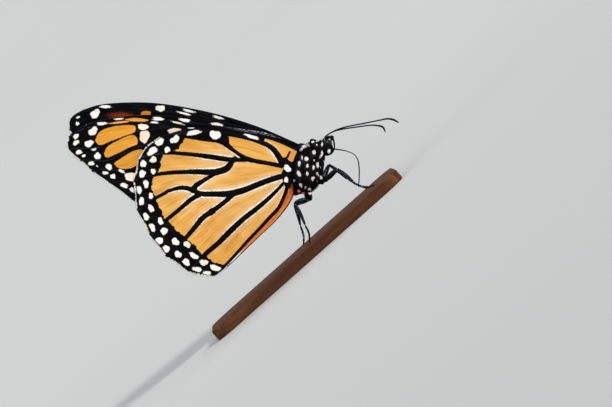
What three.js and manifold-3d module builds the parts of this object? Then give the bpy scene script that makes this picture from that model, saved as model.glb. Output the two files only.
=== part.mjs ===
// A male monarch butterfly at rest with its wings closed over its back, standing on a low base.
// Millimetres. X points forward, Y to the butterfly's left, Z up from the underside of the base.
import * as THREE from 'three';
import { mergeVertices } from 'three/addons/utils/BufferGeometryUtils.js';
import Module from 'manifold-3d';

const wasm = await Module();
wasm.setup();

// Driving dimensions
const base = { length: 54, width: 26, height: 2.5, corner: 5, chamfer: 0.35 };
const standsAt = { x: 2, y: 0 };      // where the near hind foot's plumb line falls on the base
const clearance = 0.3;                // left between pieces that are cut to fit each other
const wing = {
  thickness: 0.5,
  veinRise: 0.2,                      // how far a vein stands out of the outer face
  stations: 12,                       // steps from root to margin
  lift: 41.6,                         // degrees, from straight back up to the wing's own long axis
  spread: 4.6,                        // extra lift of the left forewing, which shows above the right one
};
const foreHinge = { x: 12.4, z: 17.3 };
const hindHinge = { x: 6.8, z: 15.0 };
const sides = { right: -1, left: 1 };
const flat = 0.22;                    // how high a toe's centre line runs above its flat sole

const colours = {
  cell: 0xe5a353, black: 0x0d0b10, charcoal: 0x1b1920, eye: 0x0a0810, brown: 0x2a1c1c, base: 0x4a3222,
};

function finish(colour, roughness) {
  return new THREE.MeshStandardMaterial({ color: colour, roughness, metalness: 0 });
}

const butterfly = new THREE.Group();
butterfly.position.set(standsAt.x, standsAt.y, base.height);

// Solids

// One closed body with merged corners and its faces pointing out.
function closed(geometry) {
  geometry.deleteAttribute('normal');
  geometry.deleteAttribute('uv');
  const merged = mergeVertices(geometry, 1e-4);
  const index = merged.index.array;
  const at = merged.attributes.position;
  const a = new THREE.Vector3();
  const b = new THREE.Vector3();
  const c = new THREE.Vector3();
  const kept = [];
  let volume = 0;
  for (let i = 0; i < index.length; i += 3) {
    const corners = [index[i], index[i + 1], index[i + 2]];
    if (new Set(corners).size < 3) continue;
    a.fromBufferAttribute(at, corners[0]);
    b.fromBufferAttribute(at, corners[1]);
    c.fromBufferAttribute(at, corners[2]);
    volume += a.dot(b.cross(c));
    kept.push(corners);
  }
  if (volume < 0) kept.forEach((corners) => corners.reverse());
  merged.setIndex(kept.flat());
  return merged;
}

function solidOf(geometry) {
  const shape = closed(geometry);
  return new wasm.Manifold(new wasm.Mesh({
    numProp: 3,
    vertProperties: Float32Array.from(shape.attributes.position.array),
    triVerts: Uint32Array.from(shape.index.array),
  }));
}

function geometryOf(solid) {
  const mesh = solid.getMesh();
  const geometry = new THREE.BufferGeometry();
  geometry.setAttribute('position', new THREE.BufferAttribute(Float32Array.from(mesh.vertProperties), 3));
  geometry.setIndex(new THREE.BufferAttribute(Uint32Array.from(mesh.triVerts), 1));
  return geometry;
}

function add(name, solid, material, parent = butterfly) {
  const mesh = new THREE.Mesh(geometryOf(solid), material);
  mesh.name = name;
  parent.add(mesh);
}

// A smooth curve through [x, y, z] points.
function route(points) {
  return new THREE.CatmullRomCurve3(points.map((p) => new THREE.Vector3(...p)), false, 'centripetal');
}

// A smooth function of t from 0 to 1 through evenly spaced values.
function profile(values) {
  const steps = values.length - 1;
  const line = new THREE.SplineCurve(values.map((value, i) => new THREE.Vector2(i / steps, value)));
  return (t) => line.getPoint(t).y;
}

// A sphere's grid drawn out along a curve, with its half width and half height told along the way.
// fullness 1 gives pointed ends and 0.3 blunt ones, and grow makes it that much fatter all over.
function drawnOut(curve, halfWidth, halfHeight, { sides = 8, rings = 8, fullness = 0.4, grow = 0 } = {}) {
  const geometry = new THREE.SphereGeometry(1, sides, rings);
  const place = geometry.attributes.position;
  const leftwards = new THREE.Vector3(0, 1, 0);
  for (let i = 0; i < place.count; i++) {
    const from = new THREE.Vector3().fromBufferAttribute(place, i);
    const t = THREE.MathUtils.clamp((1 - from.y) / 2, 0, 1);
    const ring = Math.hypot(from.x, from.z);
    const around = Math.atan2(from.z, from.x);
    const size = ring < 1e-6 ? 0 : ring ** fullness;
    const along = curve.getTangentAt(t);
    const across = leftwards.clone().addScaledVector(along, -leftwards.dot(along)).normalize();
    const upright = new THREE.Vector3().crossVectors(along, across);
    const point = curve.getPointAt(t)
      .addScaledVector(along, -grow * from.y)
      .addScaledVector(across, Math.cos(around) * size * (halfWidth(t) + grow))
      .addScaledVector(upright, Math.sin(around) * size * (halfHeight(t) + grow));
    place.setXYZ(i, point.x, point.y, point.z);
  }
  return solidOf(geometry);
}

// A round rod that tapers through the given radii.
function rod(points, radii, options) {
  const radius = profile(radii);
  return drawnOut(route(points), radius, radius, options);
}

// A thin upright slab that parts a long piece in two
function slab(x, z, turn, thickness) {
  const cutter = new THREE.BoxGeometry(thickness, 20, 20);
  cutter.rotateY(turn);
  cutter.translate(x, 0, z);
  return solidOf(cutter);
}

// Wings. Each wing is a sheet laid over its veins, listed from the leading edge to the hind edge.
// A vein runs outwards through [out, down] points from the hinge: out follows the wing's long axis
// and down goes across it towards the hind edge. It stands proud from a share of its length onwards,
// and one with a share of 1 stays flat.
const foreVeins = {
  costa: [0, [[-0.4, -0.6], [9.8, -4.0], [20.9, -6.3], [32.9, -7.3], [43.3, -6.3], [48.6, -4.4]]],
  radius: [0, [[0, 0], [10.9, -2.9], [19.8, -4.9], [27, -5.7], [37.6, -5.7], [50.9, -2.2]]],
  media1: [0.6, [[0.2, 0.5], [10.9, -1.6], [19.8, -3.2], [29.8, -4.3], [36.2, -3.5], [51.5, 0.2]]],
  media2: [0.62, [[0.3, 0.9], [10.9, -0.3], [20, -1.3], [30.9, -1.8], [38.7, 1.1], [48.6, 3.0]]],
  media3: [0.63, [[0.4, 1.2], [10.9, 1.0], [20, 0.9], [30.4, 0.9], [37.6, 4.4], [46.2, 5.2]]],
  cubitus1: [0, [[0.5, 1.5], [7.6, 2.5], [18.7, 2.7], [26.4, 2.4], [35.3, 6.9], [42.4, 7.7]]],
  cubitus2: [0.38, [[0.5, 1.8], [7.6, 3.4], [18.7, 4.3], [27, 8.1], [32, 10.4], [37.2, 11.6]]],
  anal: [0, [[0.6, 2.1], [7.6, 5.6], [13.1, 8.2], [19.8, 11.2], [26.4, 13.6], [33.0, 14.5]]],
  hindEdge: [1, [[0.6, 2.5], [7.6, 7.1], [13.1, 10.0], [19.8, 12.9], [25.3, 15.1], [30.2, 16.3]]],
};
const hindVeins = {
  frontEdge: [1, [[-2.2, -4.9], [3.8, -7.7], [10.4, -9.2], [17.1, -9.9], [23.6, -9.3], [28.2, -7.7]]],
  subcosta: [0, [[-1.4, -3.0], [3.1, -5.3], [9.3, -7.4], [15.5, -8.7], [24, -8.1], [31.2, -5.6]]],
  media1: [0.3, [[-1.0, -1.2], [3.8, -2.2], [9.8, -3.0], [18.2, -3.8], [26.4, -4.2], [33.1, -2.7]]],
  media2: [0.34, [[-0.8, -0.6], [3.8, -0.8], [11.1, -1.1], [20.4, -0.2], [26, 0], [34.1, 1.9]]],
  media3: [0.58, [[-0.7, 0], [4, 0.5], [12.5, 1.8], [21, 3.3], [26, 4.1], [33.5, 8.3]]],
  cubitus1: [0, [[-0.7, 0.5], [3.8, 1.8], [9.6, 3.7], [18.7, 5.2], [23.8, 8.3], [30.6, 14.0]]],
  cubitus2: [0.36, [[-0.7, 0.9], [3.4, 2.6], [8.8, 4.7], [14.6, 7.1], [20.4, 12], [27.0, 18.7]]],
  anal1: [0, [[-0.7, 1.3], [2.4, 4.0], [7.1, 8.2], [12.7, 13], [17, 17.2], [22.2, 21.9]]],
  anal2: [0.1, [[-0.9, 2.0], [0.6, 5.0], [4, 10], [8.9, 15.2], [12.6, 19.3], [16.6, 23.0]]],
  innerEdge: [1, [[-1.2, 2.9], [-1.1, 5.7], [1.8, 9.9], [6.2, 14.2], [10.2, 18], [13.2, 20.9]]],
};
const scallop = 0.25;                 // how far the margin draws in between two veins

// How far a wing's middle stands from the butterfly's own middle plane.
function foreSetting(out, down) {
  const reach = Math.hypot(out, down);
  return 0.6 + 1.6 / (1 + (reach / 8) ** 4);
}

function hindSetting(out, down, z) {
  return 1.6 + 2.0 * Math.exp(-(Math.abs((z - 12) / 12) ** 3));
}

// The sheet's rows: every vein, and a flat middle row between neighbours
function rowsOf(veins) {
  const rows = [];
  const lines = Object.values(veins).map(([proudFrom, points]) => (
    { proudFrom, spots: points.map(([out, down]) => new THREE.Vector2(out, down)) }
  ));
  lines.forEach(({ proudFrom, spots }, i) => {
    rows.push({ curve: new THREE.SplineCurve(spots), proudFrom });
    if (i + 1 === lines.length) return;
    const between = spots.map((spot, k) => spot.clone().lerp(lines[i + 1].spots[k], 0.5));
    const end = between.at(-1);
    end.addScaledVector(between.at(-2).clone().sub(end).normalize(), scallop);
    rows.push({ curve: new THREE.SplineCurve(between), proudFrom: 1 });
  });
  return rows;
}

// side is 1 on the left and -1 on the right. grow makes a copy that cuts its own seat in a neighbour.
function wingSolid(veins, hinge, setting, side, lift, grow = 0) {
  const rows = rowsOf(veins);
  const angle = THREE.MathUtils.degToRad(lift);
  const geometry = new THREE.BoxGeometry(1, 1, 1, wing.stations, rows.length - 1, 1);
  const place = geometry.attributes.position;
  for (let i = 0; i < place.count; i++) {
    const along = place.getX(i) + 0.5;
    const across = 0.5 - place.getY(i);
    const outer = place.getZ(i) > 0;
    const k = Math.round(across * (rows.length - 1));
    const row = rows[k];
    const spot = row.curve.getPointAt(along);
    if (along < 0.01) spot.x -= grow;
    if (k === 0) spot.y -= grow;
    if (k === rows.length - 1) spot.y += grow;
    const x = hinge.x - spot.x * Math.cos(angle) - spot.y * Math.sin(angle);
    const z = hinge.z + spot.x * Math.sin(angle) - spot.y * Math.cos(angle);
    const rise = outer && along >= row.proudFrom && along < 0.99 ? wing.veinRise : 0;
    const half = wing.thickness / 2 + grow + rise;
    place.setXYZ(i, x, side * (setting(spot.x, spot.y, z) + (outer ? half : -half + rise)), z);
  }
  return solidOf(geometry);
}

function wings() {
  const skin = finish(colours.cell, 0.75);
  for (const [name, side] of Object.entries(sides)) {
    add(`forewing_${name}`, wingSolid(foreVeins, foreHinge, foreSetting, side, foreLift(side)), skin);
    add(`hindwing_${name}`, wingSolid(hindVeins, hindHinge, hindSetting, side, wing.lift), skin);
  }
}

function foreLift(side) {
  return side > 0 ? wing.lift + wing.spread : wing.lift;
}

// Trunk

function headHull(grow = 0) {
  return drawnOut(
    route([[15.9, 0, 13.5], [17.4, 0, 13.6], [19.0, 0, 13.5]]),
    profile([1.35, 1.55, 1.5, 1.3, 0.8]), profile([1.7, 2.05, 2.05, 1.75, 1.0]),
    { sides: 14, rings: 9, fullness: 0.6, grow },
  );
}

function neckHull(grow = 0) {
  return drawnOut(
    route([[14.0, 0, 14.5], [16.7, 0, 14.1]]),
    profile([2.3, 2.2, 1.4]), profile([2.75, 2.85, 2.1]),
    { sides: 14, rings: 6, fullness: 0.45, grow },
  );
}

function thoraxHull(grow = 0) {
  const trunk = drawnOut(
    route([[3.6, 0, 11.7], [6.5, 0, 12.2], [9.5, 0, 12.9], [12.5, 0, 13.9], [15.2, 0, 14.7]]),
    profile([2.0, 2.8, 2.95, 2.9, 2.4]), profile([2.6, 4.5, 4.7, 4.1, 2.9]),
    { sides: 16, rings: 12, fullness: 0.55, grow },
  );
  // The small plates that cover the roots of the forewings
  return [-1, 1].reduce((whole, side) => whole.add(drawnOut(
    route([[14.1, side * 1.3, 16.6], [12.7, side * 1.9, 17.2], [11.2, side * 1.9, 16.8]]),
    profile([0.5, 0.9, 0.5]), profile([0.6, 0.9, 0.6]), { sides: 6, rings: 4, fullness: 0.7, grow },
  )), trunk);
}

// The abdomen narrows in between its rings.
const abdomen = { root: [4.6, 0, 12.1], middle: [-4, 0, 11.7], tip: [-13.2, 0, 10.9], ringCount: 8 };

function abdomenHull() {
  const outline = profile([1.4, 2.15, 2.3, 2.3, 2.2, 2.0, 1.5]);
  const ringed = (t) => outline(t) * (1 - 0.03 * Math.cos(2 * Math.PI * abdomen.ringCount * t));
  return drawnOut(
    route([abdomen.root, abdomen.middle, abdomen.tip]),
    ringed, (t) => ringed(t) * 1.04, { sides: 12, rings: 20, fullness: 0.5 },
  );
}

function trunk() {
  const fur = finish(colours.black, 0.9);
  const snug = 0.05;                  // play around an eye or a palp in its seat
  const head = Object.values(sides).reduce(
    (whole, side) => whole.subtract(eyeHull(side, snug)).subtract(palpHull(side, snug)), headHull(),
  );
  add('head', head, fur);
  add('neck', neckHull().subtract(headHull(clearance)), fur);
  const thorax = Object.values(sides).reduce((whole, side) => {
    const seat = wingSolid(foreVeins, foreHinge, foreSetting, side, foreLift(side), clearance);
    return whole.subtract(seat);
  }, thoraxHull().subtract(neckHull(clearance)));
  add('thorax', largest(thorax), fur);
  const cuts = [[-1.6, 11.8], [-7.6, 11.4]];
  const parted = cuts.reduce(
    (rest, [x, z]) => rest.subtract(slab(x, z, 0, clearance)), abdomenHull().subtract(thoraxHull(clearance)),
  );
  const lengths = parted.decompose().sort((a, b) => b.boundingBox().max[0] - a.boundingBox().max[0]);
  ['abdomen_front', 'abdomen_middle', 'abdomen_tip'].forEach((name, i) => add(name, lengths[i], fur));
}

// The biggest body of a solid that cuts have left in several
function largest(solid) {
  return solid.decompose().sort((a, b) => b.volume() - a.volume())[0];
}

// Head

function eyeHull(side, grow = 0) {
  const ball = new THREE.SphereGeometry(1, 12, 9);
  ball.scale(1.12 + grow, 0.85 + grow, 1.2 + grow);
  ball.translate(17.55, side * 1.1, 14.0);
  return solidOf(ball);
}

function palpHull(side, grow = 0) {
  return rod(
    [[17.6, side * 0.5, 11.9], [18.5, side * 0.55, 12.5], [19.15, side * 0.5, 13.3], [19.4, side * 0.4, 14.3]],
    [0.45, 0.5, 0.45, 0.28], { sides: 8, rings: 6, grow },
  );
}

// The tongue hangs from under the head, forwards and down, and curls back towards its tip.
const tongue = [
  [18.3, 0, 11.5], [19.6, 0, 10.0], [20.5, 0, 8.2], [20.4, 0, 6.7], [19.4, 0, 5.1], [18.0, 0, 3.5],
  [16.4, 0, 1.9],
];

function headParts() {
  const hair = finish(colours.charcoal, 0.8);
  for (const [name, side] of Object.entries(sides)) {
    add(`eye_${name}`, eyeHull(side), finish(colours.eye, 0.15));
    add(`palp_${name}`, palpHull(side), hair);
  }
  const horn = finish(colours.brown, 0.4);
  const stem = rod(tongue, [0.26, 0.26, 0.26, 0.26, 0.25], { sides: 6, rings: 22, fullness: 0.3 });
  const parted = stem.subtract(slab(20.4, 6.7, 0.25 - Math.PI / 2, clearance)).decompose();
  const [upper, lower] = parted.sort((a, b) => b.boundingBox().max[2] - a.boundingBox().max[2]);
  add('proboscis_upper', upper.subtract(headHull(0.1)), horn);
  add('proboscis_lower', lower, horn);
}

// Feelers: a thin shaft and a thicker club
const feelers = {
  right: {
    shaft: [
      [18.5, -0.6, 15.25], [20.6, -1.1, 14.95], [22.8, -1.6, 14.1], [27.3, -2.5, 11.5], [29.5, -2.9, 10.2],
    ],
    club: [[29.8, -2.95, 10.05], [31.2, -3.2, 9.2], [32.1, -3.4, 8.1], [32.5, -3.5, 6.9]],
  },
  left: {
    shaft: [
      [18.5, 0.6, 15.25], [20.5, 1.7, 14.85], [22.5, 2.9, 13.8], [25.8, 5.4, 11.6], [27.4, 6.6, 10.5],
    ],
    club: [[27.8, 6.75, 10.2], [28.9, 7.6, 9.1], [29.6, 8.2, 8.0], [29.3, 8.6, 6.8]],
  },
};

function feelerParts() {
  const horn = finish(colours.black, 0.5);
  for (const [name, { shaft, club }] of Object.entries(feelers)) {
    const stem = rod(shaft, [0.3, 0.25, 0.25, 0.25, 0.26], { sides: 6, rings: 12, fullness: 0.3 });
    add(`antenna_${name}_shaft`, stem.subtract(headHull(0.1)), horn);
    add(`antenna_${name}_club`, rod(club, [0.28, 0.38, 0.42, 0.4, 0.3]), horn);
  }
}

// Legs. Points run from the trunk to the toe: hip, trochanter, knee, ankle, ball of the foot, toe.
const legs = {
  mid_right: [
    [10.9, -1.3, 9.9], [12.2, -2.0, 7.9], [15.6, -4.1, 8.2],
    [16.3, -4.7, 3.4], [17.5, -4.9, 1.1], [19.3, -5.1, flat],
  ],
  mid_left: [
    [10.4, 1.3, 9.9], [11.2, 2.0, 7.9], [14.9, 4.1, 9.9],
    [15.9, 4.7, 4.6], [17.0, 4.9, 1.6], [18.3, 5.1, flat],
  ],
  hind_right: [
    [7.2, -1.0, 8.8], [6.6, -1.4, 7.1], [3.5, -2.1, 8.9],
    [2.0, -3.3, 3.7], [1.3, -3.7, 1.6], [0.1, -4.0, flat],
  ],
  hind_left: [
    [7.0, 1.0, 8.8], [6.3, 1.4, 7.1], [3.2, 2.1, 8.4],
    [1.1, 3.3, 4.0], [0.1, 3.7, 1.8], [-1.3, 4.0, flat],
  ],
};

// A length of leg from one point to the next, drawn in at both ends and bowed upwards at its middle
function legLength(from, to, radii, draw, bow = 0) {
  const start = new THREE.Vector3(...from);
  const end = new THREE.Vector3(...to);
  const along = end.clone().sub(start).normalize();
  start.addScaledVector(along, draw);
  end.addScaledVector(along, -draw);
  const middle = start.clone().add(end).multiplyScalar(0.5);
  middle.z += bow;
  return rod([start, middle, end].map((p) => p.toArray()), radii, { sides: 8, rings: 6, fullness: 0.45 });
}

function legParts() {
  const horn = finish(colours.black, 0.45);
  const soil = solidOf(new THREE.BoxGeometry(80, 40, 4).translate(0, 0, -2));
  for (const [name, [hip, trochanter, knee, ankle, ball, toe]] of Object.entries(legs)) {
    const coxa = legLength(hip, trochanter, [0.75, 0.65, 0.45], 0);
    const femur = legLength(trochanter, knee, [0.4, 0.46, 0.34], 0.1, 0.15);
    const tibia = legLength(knee, ankle, [0.3, 0.33, 0.28], 0.15);
    const foot = rod([ankle, ball, toe], [0.25, 0.27, 0.25], { sides: 8, rings: 10, fullness: 0.35 });
    // Each length is cut back from the one before it, drawn fatter by the gap between them.
    const aroundCoxa = legLength(hip, trochanter, [1.05, 0.95, 0.7], -0.1);
    const aroundFemur = legLength(trochanter, knee, [0.6, 0.6, 0.5], 0.1, 0.15);
    const aroundTibia = legLength(knee, ankle, [0.5, 0.5, 0.45], 0.1);
    add(`leg_${name}_coxa`, largest(coxa.subtract(thoraxHull(clearance))), horn);
    add(`leg_${name}_femur`, largest(femur.subtract(aroundCoxa).subtract(thoraxHull(clearance))), horn);
    add(`leg_${name}_tibia`, largest(tibia.subtract(aroundFemur)), horn);
    add(`leg_${name}_tarsus`, largest(foot.subtract(aroundTibia).subtract(soil)), horn);
  }
  // The forelegs are small and stay folded against the breast.
  for (const [name, side] of Object.entries(sides)) {
    const folded = rod(
      [[14.7, side * 1.8, 12.0], [14.1, side * 2.3, 10.9], [13.1, side * 2.5, 10.2], [11.8, side * 2.4, 9.7]],
      [0.42, 0.42, 0.36, 0.27],
    );
    const trunkAround = [thoraxHull(clearance), neckHull(clearance), headHull(clearance)];
    add(`foreleg_${name}`, largest(trunkAround.reduce((rest, hull) => rest.subtract(hull), folded)), horn);
  }
}

// Base

function standBase() {
  const { length, width, corner, chamfer, height } = base;
  const [x, y] = [length / 2 - chamfer, width / 2 - chamfer];
  const r = corner - chamfer;
  const outline = new THREE.Shape();
  outline.moveTo(-x + r, -y);
  outline.lineTo(x - r, -y).absarc(x - r, -y + r, r, -Math.PI / 2, 0);
  outline.lineTo(x, y - r).absarc(x - r, y - r, r, 0, Math.PI / 2);
  outline.lineTo(-x + r, y).absarc(-x + r, y - r, r, Math.PI / 2, Math.PI);
  outline.lineTo(-x, -y + r).absarc(-x + r, -y + r, r, Math.PI, 1.5 * Math.PI);
  const plinth = new THREE.ExtrudeGeometry(outline, {
    depth: height - 2 * chamfer,
    bevelThickness: chamfer,
    bevelSize: chamfer,
    bevelSegments: 1,
    curveSegments: 5,
  });
  plinth.translate(0, 0, chamfer);
  return solidOf(plinth);
}

const group = new THREE.Group();
group.add(butterfly);
wings();
trunk();
headParts();
feelerParts();
legParts();
add('stand_base', standBase(), finish(colours.base, 0.5), group);

export default group;
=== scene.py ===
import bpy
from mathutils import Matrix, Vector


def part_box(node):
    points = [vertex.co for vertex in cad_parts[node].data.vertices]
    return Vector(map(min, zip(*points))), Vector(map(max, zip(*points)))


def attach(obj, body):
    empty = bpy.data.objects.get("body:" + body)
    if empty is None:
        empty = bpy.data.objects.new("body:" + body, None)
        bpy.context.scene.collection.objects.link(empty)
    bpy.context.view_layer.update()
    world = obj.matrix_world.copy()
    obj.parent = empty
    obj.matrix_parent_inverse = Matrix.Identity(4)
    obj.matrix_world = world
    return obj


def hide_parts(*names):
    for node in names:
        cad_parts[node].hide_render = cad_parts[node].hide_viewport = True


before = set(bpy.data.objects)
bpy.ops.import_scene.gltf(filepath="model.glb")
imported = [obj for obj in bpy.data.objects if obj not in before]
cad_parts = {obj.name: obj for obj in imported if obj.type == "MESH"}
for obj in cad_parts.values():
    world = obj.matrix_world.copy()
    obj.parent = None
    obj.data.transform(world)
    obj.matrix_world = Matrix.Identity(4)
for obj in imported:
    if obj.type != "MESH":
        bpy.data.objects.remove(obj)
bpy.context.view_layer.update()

import math

import bmesh
import bpy
import numpy as np
from mathutils import Matrix, Vector
from mathutils.bvhtree import BVHTree

# A monarch butterfly with its wings closed. Lengths are millimetres in the butterfly's own frame,
# X forwards, Y to its left and Z up from the top of the base, until a piece settles into place.
mm = 0.001
standsAt = np.array([2.0, 0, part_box("stand_base")[1][2] / mm])
sides = {"right": -1, "left": 1}
rng = np.random.default_rng(20)
scene = bpy.context.scene


# Curves

def smooth(points, places):
    # a smooth curve through evenly numbered points, at places from 0 to 1
    points = np.asarray(points, float)
    last = len(points) - 1
    place = np.clip(places, 0, 1) * last
    i = np.minimum(place.astype(int), last - 1)
    w = (place - i).reshape(-1, *[1] * (points.ndim - 1))
    before, here, there, after = (points[np.clip(i + k, 0, last)] for k in (-1, 0, 1, 2))
    return 0.5 * (2 * here + (there - before) * w
                  + (2 * before - 5 * here + 4 * there - after) * w ** 2
                  + (3 * here - before - 3 * there + after) * w ** 3)


def respaced(line, count, drawIn=0.0):
    # the same line with its points an equal walk apart, stopping drawIn short of its end
    walked = np.concatenate([[0], np.cumsum(np.linalg.norm(np.diff(line, axis=0), axis=1))])
    goal = np.linspace(0, walked[-1] - drawIn, count)
    return np.stack([np.interp(goal, walked, line[:, k]) for k in range(line.shape[1])], 1)


def evenly(points, count, drawIn=0.0):
    return respaced(smooth(points, np.linspace(0, 1, 300)), count, drawIn)


def route(points, count):
    # a smooth line in space whose bends stay close to its points
    p = np.asarray(points, float)
    p = np.vstack([2 * p[0] - p[1], p, 2 * p[-1] - p[-2]])
    t = np.linspace(0, 1, 40)[:, None]
    fine = []
    for a, b, c, d in zip(p, p[1:], p[2:], p[3:]):
        ab, bc, cd = (np.linalg.norm(q - r) ** 0.5 for q, r in ((b, a), (c, b), (d, c)))
        leave = ((b - a) / ab - (c - a) / (ab + bc) + (c - b) / bc) * bc
        reach = ((c - b) / bc - (d - b) / (bc + cd) + (d - c) / cd) * bc
        fine.append(b + leave * t + (3 * (c - b) - 2 * leave - reach) * t ** 2
                    + (2 * (b - c) + leave + reach) * t ** 3)
    return respaced(np.vstack(fine), count)


def unit(vectors):
    return vectors / np.maximum(np.linalg.norm(vectors, axis=-1, keepdims=True), 1e-9)


def step(low, high, values):
    share = np.clip((values - low) / (high - low), 0, 1)
    return share * share * (3 - 2 * share)


# Pieces

def tube(points, halfWidth, halfHeight=None, *, around, rings, fullness, grow=0.0, form=None):
    # a ball's grid drawn out along a route; form scales the section by place along and angle round
    bm = bmesh.new()
    bmesh.ops.create_uvsphere(bm, u_segments=around, v_segments=rings, radius=1)
    ball = np.array([v.co for v in bm.verts])
    t = np.arccos(np.clip(ball[:, 2], -1, 1)) / math.pi
    spin = np.arctan2(ball[:, 1], ball[:, 0])
    line = route(points, 401)
    at = np.rint(t * (len(line) - 1)).astype(int)
    along = unit(np.gradient(line, axis=0))[at]
    across = unit(np.array([0, 1, 0]) - along * along[:, 1:2])
    upright = np.cross(along, across)
    size = np.maximum(4 * t * (1 - t), 0) ** (fullness / 2)
    scale = size * (1 if form is None else form(t, spin))
    wide = (smooth(halfWidth, t) + grow) * scale
    high = (smooth(halfHeight or halfWidth, t) + grow) * scale
    place = (line[at] + along * (grow * (2 * t - 1))[:, None]
             + across * (np.cos(spin) * wide)[:, None] + upright * (np.sin(spin) * high)[:, None])
    for vert, spot in zip(bm.verts, place):
        vert.co = spot
    bmesh.ops.recalc_face_normals(bm, faces=bm.faces)
    return bm


def meshOf(name, bm):
    mesh = bpy.data.meshes.new(name)
    bm.to_mesh(mesh)
    bm.free()
    return mesh


def joined(name, parts):
    whole = bmesh.new()
    for part in parts:
        loose = meshOf("loose", part)
        whole.from_mesh(loose)
        bpy.data.meshes.remove(loose)
    return meshOf(name, whole)


def give(mesh, name, values, kind="FLOAT"):
    layer = mesh.attributes.new(name, kind, "POINT")
    field = "vector" if kind == "FLOAT_VECTOR" else "value"
    layer.data.foreach_set(field, np.asarray(values, np.float32).ravel())


def spotsOf(mesh):
    flatList = np.empty(len(mesh.vertices) * 3, np.float32)
    mesh.vertices.foreach_get("co", flatList)
    return flatList.reshape(-1, 3).astype(float)


def moveTo(mesh, spots):
    mesh.vertices.foreach_set("co", np.asarray(spots, np.float32).ravel())
    mesh.update()


def place(name, mesh, material, slotName, replaced=()):
    # settles a finished mesh into the shared frame, names it, gives it its material and hides the parts that
    # it replaces
    moveTo(mesh, (spotsOf(mesh) + standsAt) * mm)
    mesh.polygons.foreach_set("use_smooth", np.ones(len(mesh.polygons), bool))
    mesh.materials.clear()
    mesh.materials.append(material)
    mesh.name = name
    obj = bpy.data.objects.new(name, mesh)
    scene.collection.objects.link(obj)
    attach(obj, "root")
    if replaced:
        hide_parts(*replaced)


def wrap(mesh, uv):
    # the bake's own map, with one place for each corner of each face
    layer = mesh.uv_layers.new(name="OFBake")
    layer.data.foreach_set("uv", np.asarray(uv, np.float32).ravel())


def cornersOf(mesh):
    index = np.empty(len(mesh.loops), np.int32)
    mesh.loops.foreach_get("vertex_index", index)
    return index


# Materials

def colour(red, green, blue):
    # what a paint chart gives, 0 to 255, as the light that the shader wants
    chart = np.array([red, green, blue]) / 255
    light = np.where(chart <= 0.04045, chart / 12.92, ((chart + 0.055) / 1.055) ** 2.4)
    return (*light, 1.0)


def node(tree, kind, inputs=None, **settings):
    made = tree.nodes.new("ShaderNode" + kind)
    for key, value in settings.items():
        setattr(made, key, value)
    for socket, value in (inputs or {}).items():
        if isinstance(value, bpy.types.NodeSocket):
            tree.links.new(value, made.inputs[socket])
        else:
            made.inputs[socket].default_value = value
    return made


def blendOf(tree, share, first, second, mode="MIX"):
    made = node(tree, "Mix", {0: share, 6: first, 7: second}, data_type="RGBA", blend_type=mode)
    return made.outputs[2]


def layered(tree, paint, layers):
    # lays one colour after another over a paint, each by the share that it covers
    for share, tint in layers:
        paint = blendOf(tree, share, paint, tint)
    return paint


def maths(tree, kind, first, second=0.0):
    return node(tree, "Math", {0: first, 1: second}, operation=kind).outputs[0]


def times(tree, first, second):
    return maths(tree, "MULTIPLY", first, second)


def ramp(tree, value, low, high, start=0.0, end=1.0):
    made = node(tree, "MapRange", {"Value": value, "From Min": low, "From Max": high,
                                   "To Min": start, "To Max": end}, interpolation_type="SMOOTHSTEP")
    return made.outputs["Result"]


def attribute(tree, name, output="Fac"):
    return node(tree, "Attribute", attribute_name=name).outputs[output]


def objectPlace(tree):
    return node(tree, "TexCoord").outputs["Object"]


def stretched(tree, vector, scale):
    return node(tree, "Mapping", {"Vector": vector, "Scale": scale}).outputs[0]


def noise(tree, vector, scale, detail=2.0, roughness=0.5):
    values = {"Vector": vector, "Scale": scale, "Detail": detail, "Roughness": roughness}
    return node(tree, "TexNoise", values).outputs["Fac"]


def newMaterial(name, values):
    material = bpy.data.materials.new(name)
    material.use_nodes = True
    tree = material.node_tree
    for socket, value in values.items():
        tree.nodes["Principled BSDF"].inputs[socket].default_value = value
    return material, tree


def dressed(material, paint, height=None, strength=0.0, depth=0.0, rough=None, **settings):
    # links a material's colour, its relief of a depth in millimetres, and its roughness where that varies
    tree = material.node_tree
    shader = tree.nodes["Principled BSDF"]
    tree.links.new(paint, shader.inputs["Base Color"])
    if rough is not None:
        tree.links.new(rough, shader.inputs["Roughness"])
    if height is not None:
        values = {"Height": height, "Strength": strength, "Distance": depth * mm}
        bump = node(tree, "Bump", values, **settings)
        tree.links.new(bump.outputs[0], shader.inputs["Normal"])
    return material


def newGroup(name, takes, gives):
    # takes gives each input's starting value, None for a vector
    tree = bpy.data.node_groups.new(name, "ShaderNodeTree")
    for socket, start in takes.items():
        kind = "NodeSocketVector" if start is None else "NodeSocketFloat"
        made = tree.interface.new_socket(name=socket, in_out="INPUT", socket_type=kind)
        if start is not None:
            made.default_value = start
    for socket, kind in gives.items():
        tree.interface.new_socket(name=socket, in_out="OUTPUT", socket_type=kind)
    return tree, tree.nodes.new("NodeGroupInput").outputs, tree.nodes.new("NodeGroupOutput").inputs


def useGroup(tree, group, inputs):
    return node(tree, "Group", inputs, node_tree=group).outputs


def jaggedEdge():
    # turns a signed distance in millimetres into a mask whose edge is as ragged as rows of scales
    tree, takes, gives = newGroup(
        "JaggedEdge", {"Distance": 0.0, "Place": None, "Ragged": 0.25, "Soft": 0.05, "Cells": 5500.0},
        {"Mask": "NodeSocketFloat"})
    rag = noise(tree, takes["Place"], takes["Cells"], 1.0, 0.6)
    swing = times(tree, maths(tree, "SUBTRACT", rag, 0.5), takes["Ragged"])
    moved = maths(tree, "ADD", takes["Distance"], swing)
    low = times(tree, takes["Soft"], -1.0)
    tree.links.new(ramp(tree, moved, low, takes["Soft"]), gives["Mask"])
    return tree


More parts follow.
